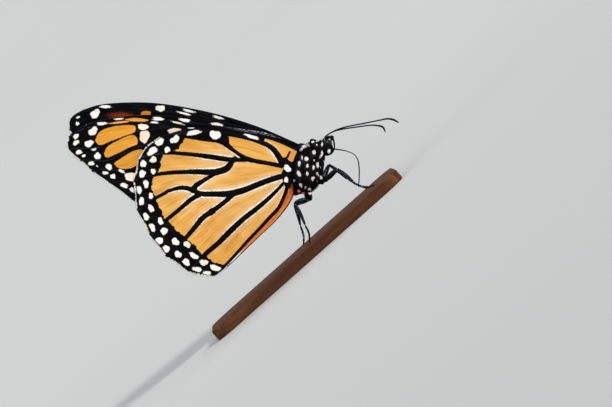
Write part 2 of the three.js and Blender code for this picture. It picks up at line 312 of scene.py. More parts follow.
def scaleDust():
    # the fine relief and speckle of overlapping scales
    tree, takes, gives = newGroup(
        "ScaleDust", {"Place": None, "Size": 7000.0, "Speckle": 0.1},
        {"Height": "NodeSocketFloat", "Shade": "NodeSocketFloat"})
    cells = node(tree, "TexVoronoi", {"Vector": takes["Place"], "Scale": takes["Size"]}, feature="F1")
    fine = noise(tree, takes["Place"], takes["Size"], 2.0, 0.6)
    speckle = times(tree, maths(tree, "SUBTRACT", fine, 0.5), takes["Speckle"])
    tree.links.new(maths(tree, "SUBTRACT", fine, cells.outputs["Distance"]), gives["Height"])
    tree.links.new(maths(tree, "ADD", speckle, 1.0), gives["Shade"])
    return tree


jagged = jaggedEdge()
dust = scaleDust()


def raggedMask(tree, name, spot, ragged, soft, cells=5500.0, reach=None):
    # white where the named distance is positive, or further out by a reach
    distance = attribute(tree, name)
    if reach is not None:
        distance = maths(tree, "ADD", distance, reach)
    return useGroup(tree, jagged, {"Distance": distance, "Place": spot, "Ragged": ragged, "Soft": soft,
                                   "Cells": cells})["Mask"]


def scalesOn(tree, spot, size, speckle):
    return useGroup(tree, dust, {"Place": spot, "Size": size, "Speckle": speckle})


monarch = {
    # shadedEmber is the colour of the painted shade on the hind fold and lobe
    "golden": colour(236, 178, 90), "deep": colour(234, 156, 34), "shadedEmber": colour(214, 96, 34),
    "streak": colour(190, 118, 36), "pale": colour(255, 238, 208), "edging": colour(252, 243, 228),
    # paintedGleam is the colour of the painted highlights along the wing veins
    "black": colour(5, 5, 7), "soot": colour(15, 14, 19), "paintedGleam": colour(204, 208, 226),
    "white": colour(248, 246, 238), "cream": colour(252, 232, 206), "chestnut": colour(150, 56, 20),
    "slate": colour(40, 43, 56), "inside": colour(236, 140, 30),
}


def wingMaterial():
    material, tree = newMaterial("wingScales", {"Specular IOR Level": 0.04})
    spot = objectPlace(tree)
    lie = attribute(tree, "lie", "Vector")
    scales = scalesOn(tree, spot, 7500.0, 0.22)
    mottle = noise(tree, spot, 2600.0)
    # pleats and finer threads run along the cells
    pleat = noise(tree, stretched(tree, lie, (0.07, 1.9, 1.0)), 1.0, 3.0, 0.6)
    thread = noise(tree, stretched(tree, lie, (0.12, 8.0, 1.0)), 1.0)
    # ragged pale edging along some of the veins, wider and narrower as it goes
    edging = attribute(tree, "edging")
    reach = times(tree, edging, ramp(tree, noise(tree, spot, 1500.0, 1.0), 0.3, 0.62, 0.25, 1.25))
    pale = raggedMask(tree, "dark", spot, 0.16, 0.07, 6500.0, reach)
    bloom = times(tree, edging, ramp(tree, attribute(tree, "dark"), -1.6, 0.0))
    gold = layered(tree, monarch["golden"], [
        (attribute(tree, "warm"), monarch["deep"]),
        (attribute(tree, "shadedEmber"), monarch["shadedEmber"]),
        (attribute(tree, "away"), monarch["inside"]),
        (ramp(tree, pleat, 0.52, 0.7, 0.0, 0.55), monarch["streak"]),
        (ramp(tree, thread, 0.52, 0.72, 0.0, 0.42), monarch["streak"]),
        (ramp(tree, thread, 0.45, 0.22, 0.0, 0.42), monarch["pale"]),
        (ramp(tree, pleat, 0.42, 0.28, 0.0, 0.3), monarch["pale"]),
        (ramp(tree, noise(tree, spot, 160.0), 0.4, 0.7, 0.0, 0.16), monarch["streak"]),
        (times(tree, bloom, 1.4), monarch["pale"]),
        (times(tree, pale, ramp(tree, reach, 0.03, 0.1)), monarch["edging"]),
        (attribute(tree, "blanch"), monarch["edging"]),
    ])
    light = layered(tree, monarch["white"], [
        (attribute(tree, "cream"), monarch["cream"]),
        (ramp(tree, mottle, 0.5, 0.75, 0.0, 0.3), monarch["cream"]),
    ])
    # painted highlights: two fine silvery lines along the front veins
    paintedGleam = attribute(tree, "paintedGleam")
    offLine = attribute(tree, "offLine")
    offSecond = maths(tree, "ABSOLUTE", maths(tree, "SUBTRACT", offLine, 0.34))
    first = ramp(tree, maths(tree, "ABSOLUTE", offLine), 0.13, 0.04)
    second = times(tree, ramp(tree, offSecond, 0.1, 0.04, 0.0, 0.6), ramp(tree, paintedGleam, 0.3, 0.6))
    gleam = times(tree, maths(tree, "MAXIMUM", first, second), paintedGleam)
    gleam = times(tree, gleam, ramp(tree, noise(tree, spot, 2600.0, 1.0), 0.4, 0.62, 0.12, 1.0))
    black = layered(tree, monarch["black"], [
        (times(tree, ramp(tree, noise(tree, spot, 3000.0, 3.0), 0.48, 0.75), 0.7), monarch["soot"]),
        (ramp(tree, thread, 0.62, 0.74, 0.0, 0.2), monarch["slate"]),
        (gleam, monarch["paintedGleam"]),
    ])
    dark = raggedMask(tree, "dark", spot, 0.3, 0.045)
    # chestnut patches; on the hind fold this is a painted shadow towards the root
    chestnutAndShadow = times(tree, attribute(tree, "chestnut"), ramp(tree, mottle, 0.3, 0.6, 0.4, 1.0))
    paint = layered(tree, gold, [
        (dark, black), (chestnutAndShadow, monarch["chestnut"]),
        (raggedMask(tree, "white", spot, 0.34, 0.06, 4300.0), light),
    ])
    paint = blendOf(tree, 1.0, paint, scales["Shade"], "MULTIPLY")
    height = maths(tree, "ADD", scales["Height"], times(tree, pleat, 1.5))
    return dressed(material, paint, height, 0.35, 0.06, ramp(tree, dark, 0.0, 1.0, 0.62, 0.5))


def fringeMaterial():
    material, tree = newMaterial("fringeScales", {"Roughness": 0.6, "Specular IOR Level": 0.15})
    light = blendOf(tree, attribute(tree, "shade"), monarch["white"], colour(234, 230, 224))
    paint = blendOf(tree, attribute(tree, "white"), monarch["black"], light)
    return dressed(material, paint, scalesOn(tree, objectPlace(tree), 9000.0, 0.3)["Height"], 0.3, 0.04)


furColours = {
    "black": colour(5, 4, 6), "brown": colour(21, 16, 21), "white": colour(255, 254, 252),
    # reflected is a painted reddish reflected light on white marks
    "cream": colour(252, 228, 190), "mist": colour(104, 93, 108), "reflected": colour(232, 92, 50),
}
furMarks = ("White", "Cream", "Reflected", "Grey", "Mist", "Shade")


def furPaint():
    # the body's markings, the same on the skin and on the coat over it
    tree, takes, gives = newGroup("BodyPaint", dict.fromkeys(furMarks, 0.0), {"Color": "NodeSocketColor"})
    black = layered(tree, furColours["black"], [
        (takes["Shade"], furColours["brown"]), (takes["Mist"], furColours["mist"])])
    light = layered(tree, furColours["white"], [
        (takes["Cream"], furColours["cream"]), (takes["Reflected"], furColours["reflected"]),
        (takes["Grey"], furColours["mist"])])
    tree.links.new(blendOf(tree, takes["White"], black, light), gives["Color"])
    return tree


bodyPaint = furPaint()


def skinMaterial():
    material, tree = newMaterial("bodySkin", {"Roughness": 0.6, "Specular IOR Level": 0.15})
    spot = objectPlace(tree)
    marks = {name: attribute(tree, name.lower()) for name in ("Cream", "Reflected", "Grey")}
    marks["White"] = raggedMask(tree, "white", spot, 0.25, 0.08)
    marks["Shade"] = ramp(tree, noise(tree, spot, 900.0), 0.4, 0.7, 0.0, 0.5)
    paint = useGroup(tree, bodyPaint, marks)["Color"]
    return dressed(material, paint, scalesOn(tree, spot, 6000.0, 0.3)["Height"], 0.6, 0.08)


def coatMaterial():
    material, tree = newMaterial("bodyCoat", {"Roughness": 0.55, "Specular IOR Level": 0.07})
    paint = useGroup(tree, bodyPaint, {name: attribute(tree, name.lower()) for name in furMarks})["Color"]
    return dressed(material, paint, noise(tree, objectPlace(tree), 12000.0, 1.0), 0.25, 0.03)


def hornMaterial(name, base, tint, roughness, mottle, gloss, glintsAndMottle, darkBelow=None):
    # bare or thinly scaled horn: legs, feelers and tongue, which darkens over its last stretch; patches of
    # the tint are painted glints on the legs and a mottle on the feelers and tongue
    material, tree = newMaterial(name, {"Specular IOR Level": gloss})
    spot = objectPlace(tree)
    scales = scalesOn(tree, spot, 9000.0, 0.25)
    paint = blendOf(tree, ramp(tree, noise(tree, spot, mottle, 3.0), *glintsAndMottle), colour(*base), colour(*tint))
    if darkBelow is not None:
        level = node(tree, "SeparateXYZ", {"Vector": spot}).outputs["Z"]
        paint = blendOf(tree, ramp(tree, level, darkBelow, darkBelow - 1.2 * mm), paint, colour(9, 8, 10))
    rough = ramp(tree, scales["Shade"], 0.8, 1.2, roughness - 0.08, roughness + 0.12)
    return dressed(material, paint, scales["Height"], 0.4, 0.05, rough)


def eyeMaterial():
    # small facets in rows, black with a breath of brown
    material, tree = newMaterial("eyeFacets", {"Coat Weight": 0.1, "Coat Roughness": 0.15,
                                               "Specular IOR Level": 0.22})
    spot = objectPlace(tree)
    facets = node(tree, "TexVoronoi", {"Vector": spot, "Scale": 9500.0, "Randomness": 0.25})
    away = facets.outputs["Distance"]
    bands = ramp(tree, noise(tree, spot, 1600.0), 0.5, 0.68)
    paint = blendOf(tree, bands, colour(5, 4, 6), colour(56, 44, 56))
    return dressed(material, paint, away, 0.5, 0.04, ramp(tree, away, 0.0, 0.6, 0.16, 0.34), invert=True)


def woodMaterial():
    # dark close-grained wood under a satin finish
    material, tree = newMaterial("plinthWood", {"Specular IOR Level": 0.08})
    spot = objectPlace(tree)
    lines = noise(tree, stretched(tree, spot, (28.0, 420.0, 420.0)), 1.6, 5.0, 0.62)
    values = {"Vector": stretched(tree, spot, (14.0, 120.0, 90.0)), "Scale": 1.1, "Distortion": 5.0,
              "Detail": 3.0, "Detail Scale": 1.4}
    rings = node(tree, "TexWave", values, bands_direction="Y")
    pores = ramp(tree, noise(tree, stretched(tree, spot, (260.0, 3600.0, 3600.0)), 1.0), 0.62, 0.7)
    wood = layered(tree, colour(78, 48, 30), [
        (ramp(tree, lines, 0.3, 0.7), colour(118, 76, 48)),
        (ramp(tree, rings.outputs["Fac"], 0.35, 0.9, 0.0, 0.5), colour(58, 34, 22)),
        (times(tree, pores, 0.6), colour(34, 20, 14)),
    ])
    height = maths(tree, "SUBTRACT", times(tree, lines, 0.5), pores)
    return dressed(material, wood, height, 0.25, 0.08, ramp(tree, lines, 0.3, 0.7, 0.66, 0.8))


materials = {
    "wing": wingMaterial(), "fringe": fringeMaterial(), "skin": skinMaterial(), "coat": coatMaterial(),
    "eye": eyeMaterial(), "wood": woodMaterial(),
    # the legs' pale blue patches are painted glints
    "leg": hornMaterial("legHorn", (4, 5, 9), (140, 156, 198), 0.24, 2400.0, 0.14, (0.6, 0.74)),
    "feeler": hornMaterial("feelerHorn", (6, 5, 7), (44, 38, 42), 0.32, 1500.0, 0.1, (0.55, 0.75)),
    "tongue": hornMaterial("tongueHorn", (52, 42, 38), (118, 104, 92), 0.38, 300.0, 0.2, (0.4, 0.65),
                           darkBelow=10.0 * mm),
}
print("materials made")


# Wings. A sheet lies over its veins, listed from the leading edge to the hind edge. Points are
# [out, down] from the hinge: out along the wing's long axis, down across it to the hind edge.

# for all four wings: lift is their angle in degrees, and spread is how much more the left forewing has
wing = {
    "halfThick": 0.11, "edgeThick": 0.035, "veinRise": 0.1, "veinRound": 0.24,
    "belly": 0.16, "fringe": 0.24, "fringeGap": 0.075, "lift": 41.6, "spread": 4.6, "edging": 0.26,
    "mapBack": 3.5, "mapRim": 0.003,
}
foreWing = {
    # the hinge's X and Z, then the sheet's grid and its place on the bake's map
    "hinge": (12.4, 17.3), "columns": 250, "perRow": 8, "mapWidth": 56.0, "mapFoot": 9.0,
    "veins": [
        [(-0.4, -0.6), (9.8, -4.0), (20.9, -6.3), (32.9, -7.3), (43.3, -6.3), (48.3, -4.6)],
        [(0, 0), (10.9, -2.9), (19.8, -4.9), (27, -5.7), (37.6, -5.7), (51.2, -2.4)],
        [(0.2, 0.5), (10.9, -1.6), (19.8, -3.2), (29.8, -4.3), (36.2, -3.5), (51.3, 0.2)],
        [(0.3, 0.9), (10.9, -0.3), (20, -1.3), (30.9, -1.8), (38.7, 1.1), (48.6, 3.0)],
        [(0.4, 1.2), (10.9, 1.0), (20, 0.9), (30.4, 0.9), (37.6, 4.4), (46.2, 5.2)],
        [(0.5, 1.5), (7.6, 2.5), (18.7, 2.7), (26.4, 2.4), (35.3, 6.9), (42.4, 7.7)],
        [(0.5, 1.8), (7.6, 3.4), (18.7, 4.3), (27, 8.1), (32, 10.4), (37.2, 11.6)],
        [(0.6, 2.1), (7.6, 5.6), (13.1, 8.2), (19.8, 11.2), (26.4, 13.6), (33.0, 14.5)],
        [(0.6, 2.5), (7.6, 7.1), (13.1, 10.0), (19.8, 12.9), (25.3, 15.1), (30.2, 16.3)],
    ],
    # how far the margin draws in between each pair of veins
    "scallops": (-0.35, -0.25, -0.3, 0.05, 0.12, 0.12, 0.1, 0.05), "fringeFrom": 0.1,
    # each stroke: its line, then how wide the black is on its way out
    "strokes": [
        ([(-0.4, -0.6), (9.8, -4.0), (20.9, -6.3), (32.9, -7.3), (43.3, -6.3), (48.6, -4.4)],
         (2.2, 1.9, 1.7, 1.5, 1.2)),
        ([(0.4, 0.4), (10.9, -2.7), (19.8, -4.7), (26.9, -5.4), (30.9, -5.3)], (1.6, 1.5, 1.3, 1.2)),
        ([(29.8, -4.8), (33.1, -5.4), (37.6, -5.7), (42, -5.2), (45.3, -4.7), (48.7, -3.8), (50.7, -2.4)],
         (0.8, 0.55, 0.5)),
        ([(29.8, -4.4), (33.1, -3.9), (36.2, -3.6), (39.8, -2.2), (43.1, -0.8), (45.1, 0), (51.1, 0.3)],
         (0.9, 0.5, 0.5)),
        ([(30.9, -5.2), (30.4, -3.2), (30.6, -1.2), (30.2, 0.9), (28.7, 1.8)], (1.1, 0.8, 0.9)),
        ([(30.9, -1.8), (33.1, -1.1), (35.8, 0), (38.7, 1.1), (40.9, 2.3), (43.1, 2.9), (48.9, 2.7)],
         (0.8, 0.5, 0.5)),
        ([(30.4, 0.9), (34.2, 3.3), (37.6, 4.6), (40.9, 5.0), (44.2, 4.8)], (0.8, 0.6, 0.5)),
        ([(1.3, 1.6), (7.6, 2.7), (13.1, 3.3), (18.7, 3.1), (24.2, 2.7), (28.7, 1.8)], (1.3, 1.2, 1.0, 0.9)),
        ([(26.4, 2.2), (30.9, 5.3), (35.3, 7.1), (38.7, 7.6), (41.8, 7.8)], (0.9, 0.7, 0.6)),
        ([(18.7, 3.1), (24.2, 6.4), (29.8, 9.3), (33.1, 10.9), (36, 11.8)], (0.9, 0.8, 0.7)),
        ([(1.3, 2.2), (7.6, 5.3), (13.1, 8), (19.8, 11.1), (26.4, 13.6), (30.9, 15.1)], (1.1, 1.0, 0.8)),
        ([(-0.2, -0.4), (0.4, 1.2), (0.7, 2.6)], (2.2, 2.6, 2.4)),
    ],
    # everything past this line, out to the margin, is black
    "border": [(-1, -1.0), (10, -2.9), (20, -3.5), (26, -2.8), (29.8, -1.4), (32, 0.8), (33.6, 3.0),
               (34.7, 5.0), (34.9, 6.6), (33.4, 8.4), (31.2, 10.2), (28.6, 12.2), (25.8, 14.0), (23.6, 16.5)],
    "borderFar": [(60, 20), (60, -12), (-1, -12)],
    "windows": [
        [(45.2, -1.6), (44.4, -3.3), (42.6, -4.3), (39.8, -4.9), (36.6, -4.9), (36.5, -3.5), (38.6, -2.7),
         (41.4, -1.6), (44.2, -0.6)],
        [(43.3, 1.3), (42.4, -0.3), (40.2, -1.6), (37.6, -2.7), (36.2, -2.5), (35.9, -0.9), (37.6, -0.1),
         (40.4, 1.3), (42.6, 2.2)],
        [(41.0, 3.4), (38.8, 1.9), (36.6, 0.7), (34.7, 0.5), (35.0, 2.4), (36.4, 4.1), (38.6, 4.7),
         (40.4, 4.3)],
        [(42.5, -5.3), (40.4, -5.75), (38.0, -5.95), (38.2, -5.6), (40.6, -5.3)],
        [(38.8, -6.3), (36.2, -6.6), (33.5, -6.15), (34.4, -5.8), (37.2, -5.9)],
    ],
    # out, down, long and wide, with the tilt of the long axis in degrees where it doesn't follow the margin
    "dots": [
        (49.45, -2.5, 1.35, 1.0, 30), (49.45, -1.1, 1.45, 0.95, 30), (48.85, 1.0, 1.35, 1.0, 22),
        (47.75, 1.8, 0.9, 0.6, 38), (46.1, 3.5, 1.4, 0.85, 10), (44.8, 4.1, 0.5, 0.35),
        (43.0, 5.6, 1.3, 0.75, -8), (41.3, 6.35, 1.3, 1.0, 8), (38.8, 8.35, 1.8, 1.0, -22),
        (36.9, 9.4, 1.4, 1.0), (34.9, 11.2, 1.4, 1.0), (32.8, 12.6, 1.3, 0.9),
        (45.7, -3.65, 2.2, 1.6, 38), (46.6, -0.9, 2.0, 1.45, 35), (45.5, 0.4, 1.15, 0.55, 15),
        (44.7, 1.85, 1.5, 1.4), (42.2, 4.25, 1.5, 1.25, -30), (39.4, 5.2, 1.5, 0.65, -20),
        (37.3, 6.45, 2.8, 1.9, -8), (33.9, 9.4, 1.9, 1.3), (31.8, 11.3, 1.7, 1.1),
        (43.7, -5.35, 2.2, 0.7, 6), (40.0, -6.35, 1.9, 0.4, 6), (34.6, -4.6, 2.2, 1.4, 0),
        (34.3, -2.5, 2.7, 2.3, 70), (32.1, -5.6, 1.7, 0.42, -5), (31.3, -6.4, 2.6, 0.75, -5),
        (27.7, -3.7, 2.9, 1.3, 2), (25.4, -6.1, 2.5, 0.7, -12), (26.8, -5.45, 2.7, 0.36, -14),
        (23.8, -4.3, 1.6, 0.3, -5), (18.2, -5.2, 2.6, 0.6, -10),
    ],
    # round places where the white is creamy: out, down, reach and how strong
    "creams": [(37.1, 6.3, 3.0, 0.6), (34.3, -2.6, 2.5, 1.0), (27.2, -3.6, 2.5, 0.9),
               (34.7, -4.75, 1.6, 0.2)],
    "warmAll": 0.75,
    # what the inner face shows instead, under the far wing's leading edge
    "insideDots": [
        (43.6, -5.6, 2.6, 0.62, 3), (45.7, -3.85, 2.4, 1.6, 40), (49.4, -2.75, 0.85, 0.4),
        (49.45, -1.35, 0.9, 0.75), (31.4, -6.2, 2.0, 1.4, 0), (25.1, -6.15, 2.7, 0.5, -8),
        (26.1, -5.5, 2.8, 0.5, -10), (18.4, -5.2, 2.4, 0.5, -10),
        (46.9, -0.6, 1.6, 1.3), (45.0, 1.9, 1.5, 1.3), (48.6, 0.9, 1.2, 0.9), (46.2, 3.4, 1.2, 0.9),
        (43.0, 5.5, 1.2, 0.9), (42.2, 4.0, 1.4, 1.1), (38.9, 8.1, 1.3, 0.9), (34.9, 11.1, 1.2, 0.8),
    ],
    "insideWindow": [(33.5, -5.3), (34.5, -5.35), (35.5, -5.0), (35.45, -4.15), (34.4, -4.0), (33.5, -4.35)],
    # how much of the chestnut shows on the outer face, and where it lies
    "chestnutOutside": 0.0, "chestnut": ((39.4, -3.7), 4.6, 1.25),
    # where the painted highlight line runs near the root
    "gleamLine": [(2.6, -2.1), (8.8, -3.5), (15.5, -4.45), (22, -5.3)],
}
hindFront = [(-2.2, -4.9), (3.8, -7.7), (10.4, -9.2), (17.1, -9.9), (23.6, -9.3), (28.2, -7.7)]
hindFold = [(-1.2, 2.9), (-1.1, 5.7), (1.8, 9.9), (6.2, 14.2), (10.2, 18), (13.2, 20.9)]
hindWing = {
    "hinge": (6.8, 15.0), "columns": 190, "perRow": 11, "mapWidth": 76.0, "mapFoot": 11.0,
    "veins": [
        hindFront,
        [(-1.4, -3.0), (3.1, -5.3), (9.3, -7.4), (15.5, -8.7), (24, -8.1), (31.2, -5.6)],
        [(-1.0, -1.2), (3.8, -2.2), (9.8, -3.0), (18.2, -3.8), (26.4, -4.2), (33.1, -2.7)],
        [(-0.8, -0.6), (3.8, -0.8), (11.1, -1.1), (20.4, -0.2), (26, 0), (34.1, 1.9)],
        [(-0.7, 0), (4, 0.5), (12.5, 1.8), (21, 3.3), (26, 4.1), (33.5, 8.3)],
        [(-0.7, 0.5), (3.8, 1.8), (9.6, 3.7), (18.7, 5.2), (23.8, 8.3), (30.6, 14.0)],
        [(-0.7, 0.9), (3.4, 2.6), (8.8, 4.7), (14.6, 7.1), (20.4, 12), (27.0, 18.7)],
        [(-0.7, 1.3), (2.4, 4.0), (7.1, 8.2), (12.7, 13), (17, 17.2), (22.2, 21.9)],
        [(-0.9, 2.0), (0.6, 5.0), (4, 10), (8.9, 15.2), (12.6, 19.3), (16.6, 23.0)],
        hindFold,
    ],
    "scallops": (-0.1, -0.1, 0.1, 0.12, 0.12, 0.12, 0.1, -0.35, -0.2), "fringeFrom": 0.0,
    # some strokes here also say how strong the pale edging is above them and below them
    "strokes": [
        (hindFront, (0.5, 0.95, 1.6, 1.8, 1.8, 1.8)),
        ([(0.9, -1.6), (3.1, -5.1), (6.7, -7.0), (13.1, -8.6), (21.6, -9.7)], (1.5, 1.15, 1.1, 1.4, 2.0),
         (0, 0.6, 0.5, 0), (1, 1, 0.15, 0, 0, 0, 0, 0)),
        ([(0.9, -2.4), (0.1, -3.3), (-0.5, -4.6)], (0.75, 0.55, 0.4)),
        ([(-1.6, -5.8), (-2.4, -4.85), (-2.7, -3.6), (-2.15, -2.5), (-1.0, -1.8)], (0.8, 0.8, 0.8, 0.9)),
        ([(0.6, -3.0), (-0.2, -2.2), (-0.9, -1.6)], (0.8, 0.95, 0.9)),
        ([(-0.9, -1.3), (0.9, -1.45), (3.0, -1.78), (4.8, -2.12), (7.0, -2.5), (9.6, -3.1)],
         (1.5, 1.15, 1.0, 1.0, 1.05, 1.35), (1, 0.6, 0.1, 0, 0, 0), (0, 0, 0, 0.2, 0.3)),
        ([(9.4, -3.1), (10.3, -3.72), (11.8, -4.75), (13.1, -5.8), (14.5, -6.9), (16.0, -7.5), (18.3, -8.05),
          (22.4, -8.5), (28, -8.2)],
         (1.1, 0.85, 1.2, 1.75, 2.4, 2.3, 1.9, 1.7, 1.4), (0, 0), (1, 0.6, 0.2, 0, 0, 0, 0)),
        ([(5.75, -8.5), (5.9, -7.2)], (1.8, 1.6)),
        ([(13.9, -8.6), (13.7, -7.4), (13.4, -6.4)], (1.3, 1.6, 1.2)),
        ([(13.9, -8.3), (17.5, -9.0), (21, -9.2), (26, -8.6)], (1.6, 2.0, 2.2, 2.0)),
        ([(9.4, -2.75), (12.0, -2.8), (13.8, -2.95), (18.2, -3.6), (22.7, -4.1), (26.4, -4.3), (29.3, -3.9),
          (32.8, -3.2)],
         (0.9, 1.15, 1.15, 0.95, 0.85, 0.8, 0.75), (1, 0.9, 0.5, 0.1, 0, 0, 0), (0, 0.5, 0.8, 0.3, 0, 0, 0)),
        ([(11.6, -3.0), (12.4, -2.3), (12.75, -1.6), (13.6, -0.75), (15.0, -0.25), (16.4, 0.0),
          (20.4, -0.12), (26, 0.1), (30, 0.7), (33.9, 1.8)],
         (1.2, 1.5, 1.55, 1.3, 1.15, 1.0, 0.95, 0.8, 0.75, 0.7),
         (0, 0.6, 1, 0.8, 0.5, 0.2, 0, 0, 0, 0), (0.3, 0.5, 0.7, 0.6, 0.4, 0.4, 0.3, 0.1, 0, 0)),
        ([(15.2, -0.1), (18.2, 1.6), (20.2, 2.9), (20.9, 4.0)], (0.85, 0.9, 1.1, 1.35),
         (0.1, 0.3, 0.4), (0.5, 0.6, 1, 1)),
        ([(20.7, 3.9), (23.3, 3.4), (26, 4), (28.2, 5.2), (30.4, 6.3), (33.2, 8.6)], (1.2, 0.85, 0.8, 0.7),
         (0.5, 0.5, 0.3, 0, 0), (1, 1, 0.5, 0.1, 0)),
        ([(-0.7, 0.5), (0.7, 0.7), (3.8, 1.6), (6.9, 2.8), (9.6, 3.9), (12.7, 4.7), (16.2, 4.8), (19.3, 4.7),
          (20.7, 3.9)],
         (1.3, 1.3, 1.35, 1.5, 1.25, 1.1), (0.4, 0.8, 1, 1, 1, 1), (0.8, 1, 0.9, 0.8, 1, 1)),
        ([(19.3, 4.8), (21.6, 6.2), (23.8, 8.1), (26, 9.9), (28.2, 11.8), (30.3, 14.2)],
         (1.2, 1.0, 0.85, 0.8), (1, 0.6, 0.2, 0, 0), (1, 0.6, 0.3, 0, 0)),
        ([(12, 4.8), (14, 6.6), (16.7, 8.6), (18.7, 10), (20.4, 12), (22, 13.9), (23.8, 16), (26.6, 18.9)],
         (1.2, 1.05, 1.2, 1.2, 1.0, 0.95, 0.85), (1, 0.7, 0.7, 0.4, 0.1, 0), (0.9, 0.5, 0.5, 0.4, 0.1, 0)),
        ([(15.4, 7.7), (16.8, 8.7), (18.2, 9.7)], (0.7, 1.5, 0.7), (0.5, 0.5), (0.3, 0.3)),
        ([(0.7, 2.1), (2.4, 4), (4.7, 6.2), (7.1, 8.2), (9.8, 10.3), (12.7, 13), (15.3, 15.6), (18, 17.9),
          (21.8, 21.8)],
         (0.7, 1.0, 1.2, 1.3, 1.05, 0.9), (0.8, 0.9, 1, 0.8, 0.4, 0.1, 0), (0.8, 0.9, 0.7, 0.5, 0.3, 0)),
        ([(0, 2.7), (0.6, 4.9), (2, 7.8), (4, 10), (6.4, 12.6), (8.9, 15.2), (11.3, 17.9), (13.6, 20.4),
          (15.6, 22.4)],
         (0.9, 0.85, 0.75, 0.7, 0.7), (0.7, 0.3, 0, 0, 0), (0, 0)),
        (hindFold, (0.55, 0.5, 0.4, 0.4, 0.4)),
        ([(-1.5, -1.4), (-0.5, 0.3), (-0.5, 2.2)], (2.3, 3.6, 2.8)),
    ],
    "border": [(22.0, -9.6), (22.4, -7.9), (22.9, -6.9), (23.9, -5.9), (24.6, -4.8), (27.3, -4.0),
               (28.4, -0.6), (29.6, 0.9), (30.0, 2.4), (29.8, 4.1), (28.9, 6.2), (27.2, 10.2), (26.2, 11.1),
               (23.0, 14.1), (21.0, 15.7), (18.9, 18.0), (17.8, 18.8), (15.8, 20.0), (14.2, 20.5),
               (13.1, 22.0)],
    "borderFar": [(20, 40), (60, 30), (60, -20), (22.2, -20)],
    "windows": [],
    "dots": [
        (28.3, -6.7, 2.0, 1.5), (29.9, -4.7, 2.4, 1.5), (31.9, -1.9, 1.6, 1.3), (32.1, 0.3, 1.6, 1.5),
        (32.8, 3.9, 1.9, 1.0), (32.3, 6.4, 1.9, 1.1), (31.3, 9.8, 1.7, 1.2), (29.9, 12.2, 1.9, 1.15),
        (28.3, 15.1, 1.7, 1.4), (26.8, 16.9, 1.7, 1.3), (24.2, 18.1, 1.6, 1.4), (22.4, 19.8, 1.7, 1.4),
        (20.0, 21.4, 2.1, 1.1), (17.8, 22.2, 1.9, 0.75),
        (24.9, -7.3, 2.2, 1.5), (26.6, -5.0, 1.4, 1.2), (29.7, -2.8, 1.6, 1.3), (29.7, -0.2, 1.2, 1.1),
        (31.3, 2.6, 1.7, 1.2), (30.2, 5.2, 1.3, 1.0), (30.2, 8.0, 1.9, 1.1), (28.1, 10.8, 1.7, 1.1),
        (27.3, 13.0, 1.6, 1.5), (24.8, 15.3, 1.8, 1.4), (22.2, 15.9, 1.6, 1.3), (20.7, 18.4, 2.2, 1.1),
        (18.5, 19.9, 2.0, 1.2), (16.0, 21.1, 2.4, 1.25, -22),
        (20.7, -8.8, 3.1, 1.1, 8), (16.0, -8.3, 2.6, 1.8, -4), (7.9, -7.9, 3.4, 0.68, -17),
        (0.0, -0.9, 1.95, 1.2, -50), (0.3, 1.6, 1.2, 0.95, 80),
    ],
    "creams": [(22.2, 15.9, 1.2, 0.4), (18.6, 20.0, 1.3, 0.5), (29.7, -2.8, 1.0, 0.4), (26.6, -5, 0.9, 0.2)],
    "warmAll": 0.0,
    "insideDots": [
        (28.3, -6.7, 1.4, 1.0), (29.9, -4.7, 1.4, 0.9), (31.9, -1.9, 1.1, 0.9), (32.1, 0.3, 1.1, 0.9),
        (32.8, 3.9, 1.2, 0.7), (32.3, 6.4, 1.2, 0.8), (31.3, 9.8, 1.2, 0.8), (29.9, 12.2, 1.2, 0.8),
        (28.3, 15.1, 1.2, 0.9), (26.8, 16.9, 1.2, 0.9), (24.2, 18.1, 1.1, 0.9), (22.4, 19.8, 1.1, 0.9),
        (29.7, -2.8, 1.0, 0.8), (30.2, 5.2, 0.9, 0.7), (28.1, 10.8, 1.1, 0.8), (24.8, 15.3, 1.2, 0.9),
        (20.7, 18.4, 1.3, 0.7),
    ],
    "insideWindow": None, "foldFar": [(16.6, 40), (-20, 40), (-20, 2)], "chestnutOutside": 1.0,
    # two marks on the gold, each with its centre, its reach and how strong it is: the pouch mark's deeper
    # gold, and painted shade on the lobe
    "pouchMark": ((16.4, 10.2), 0.6, 1.0), "lobe": ((-1.7, -3.7), 2.2, 0.35),
}


def sheetOf(form):
    # out and down over the whole sheet, hind edge last, with the margin drawn in between two veins
    rows, columns = [], form["columns"]
    for i, vein in enumerate(form["veins"]):
        rows.append(evenly(vein, columns + 1, wing["fringe"]))
        if i + 1 < len(form["veins"]):
            between = (np.array(vein, float) + np.array(form["veins"][i + 1], float)) / 2
            between[-1] += unit(between[-2] - between[-1]) * form["scallops"][i]
            rows.append(evenly(between, columns + 1, wing["fringe"]))
    steps = (len(rows) - 1) * form["perRow"]
    return smooth(np.array(rows), np.linspace(0, 1, steps + 1)), steps


def foreSetting(out, down, height):
    # how far a spot of a forewing stands from the middle plane, further at the hinge
    return 0.6 + 1.6 / (1 + (np.hypot(out, down) / 8) ** 4)


def hindSetting(out, down, height):
    # and a spot of a hindwing, further where it passes the abdomen
    return 1.6 + 2.0 * np.exp(-np.abs((height - 12) / 12) ** 3)


def layOn(form, setting, side, lift, spots, off):
    # takes points of the sheet into the butterfly's frame, off away from its middle
    angle = math.radians(lift)
    out, down = spots[:, 0], spots[:, 1]
    x = form["hinge"][0] - out * math.cos(angle) - down * math.sin(angle)
    z = form["hinge"][1] + out * math.sin(angle) - down * math.cos(angle)
    return np.stack([x, side * (setting(out, down, z) + off), z], 1)


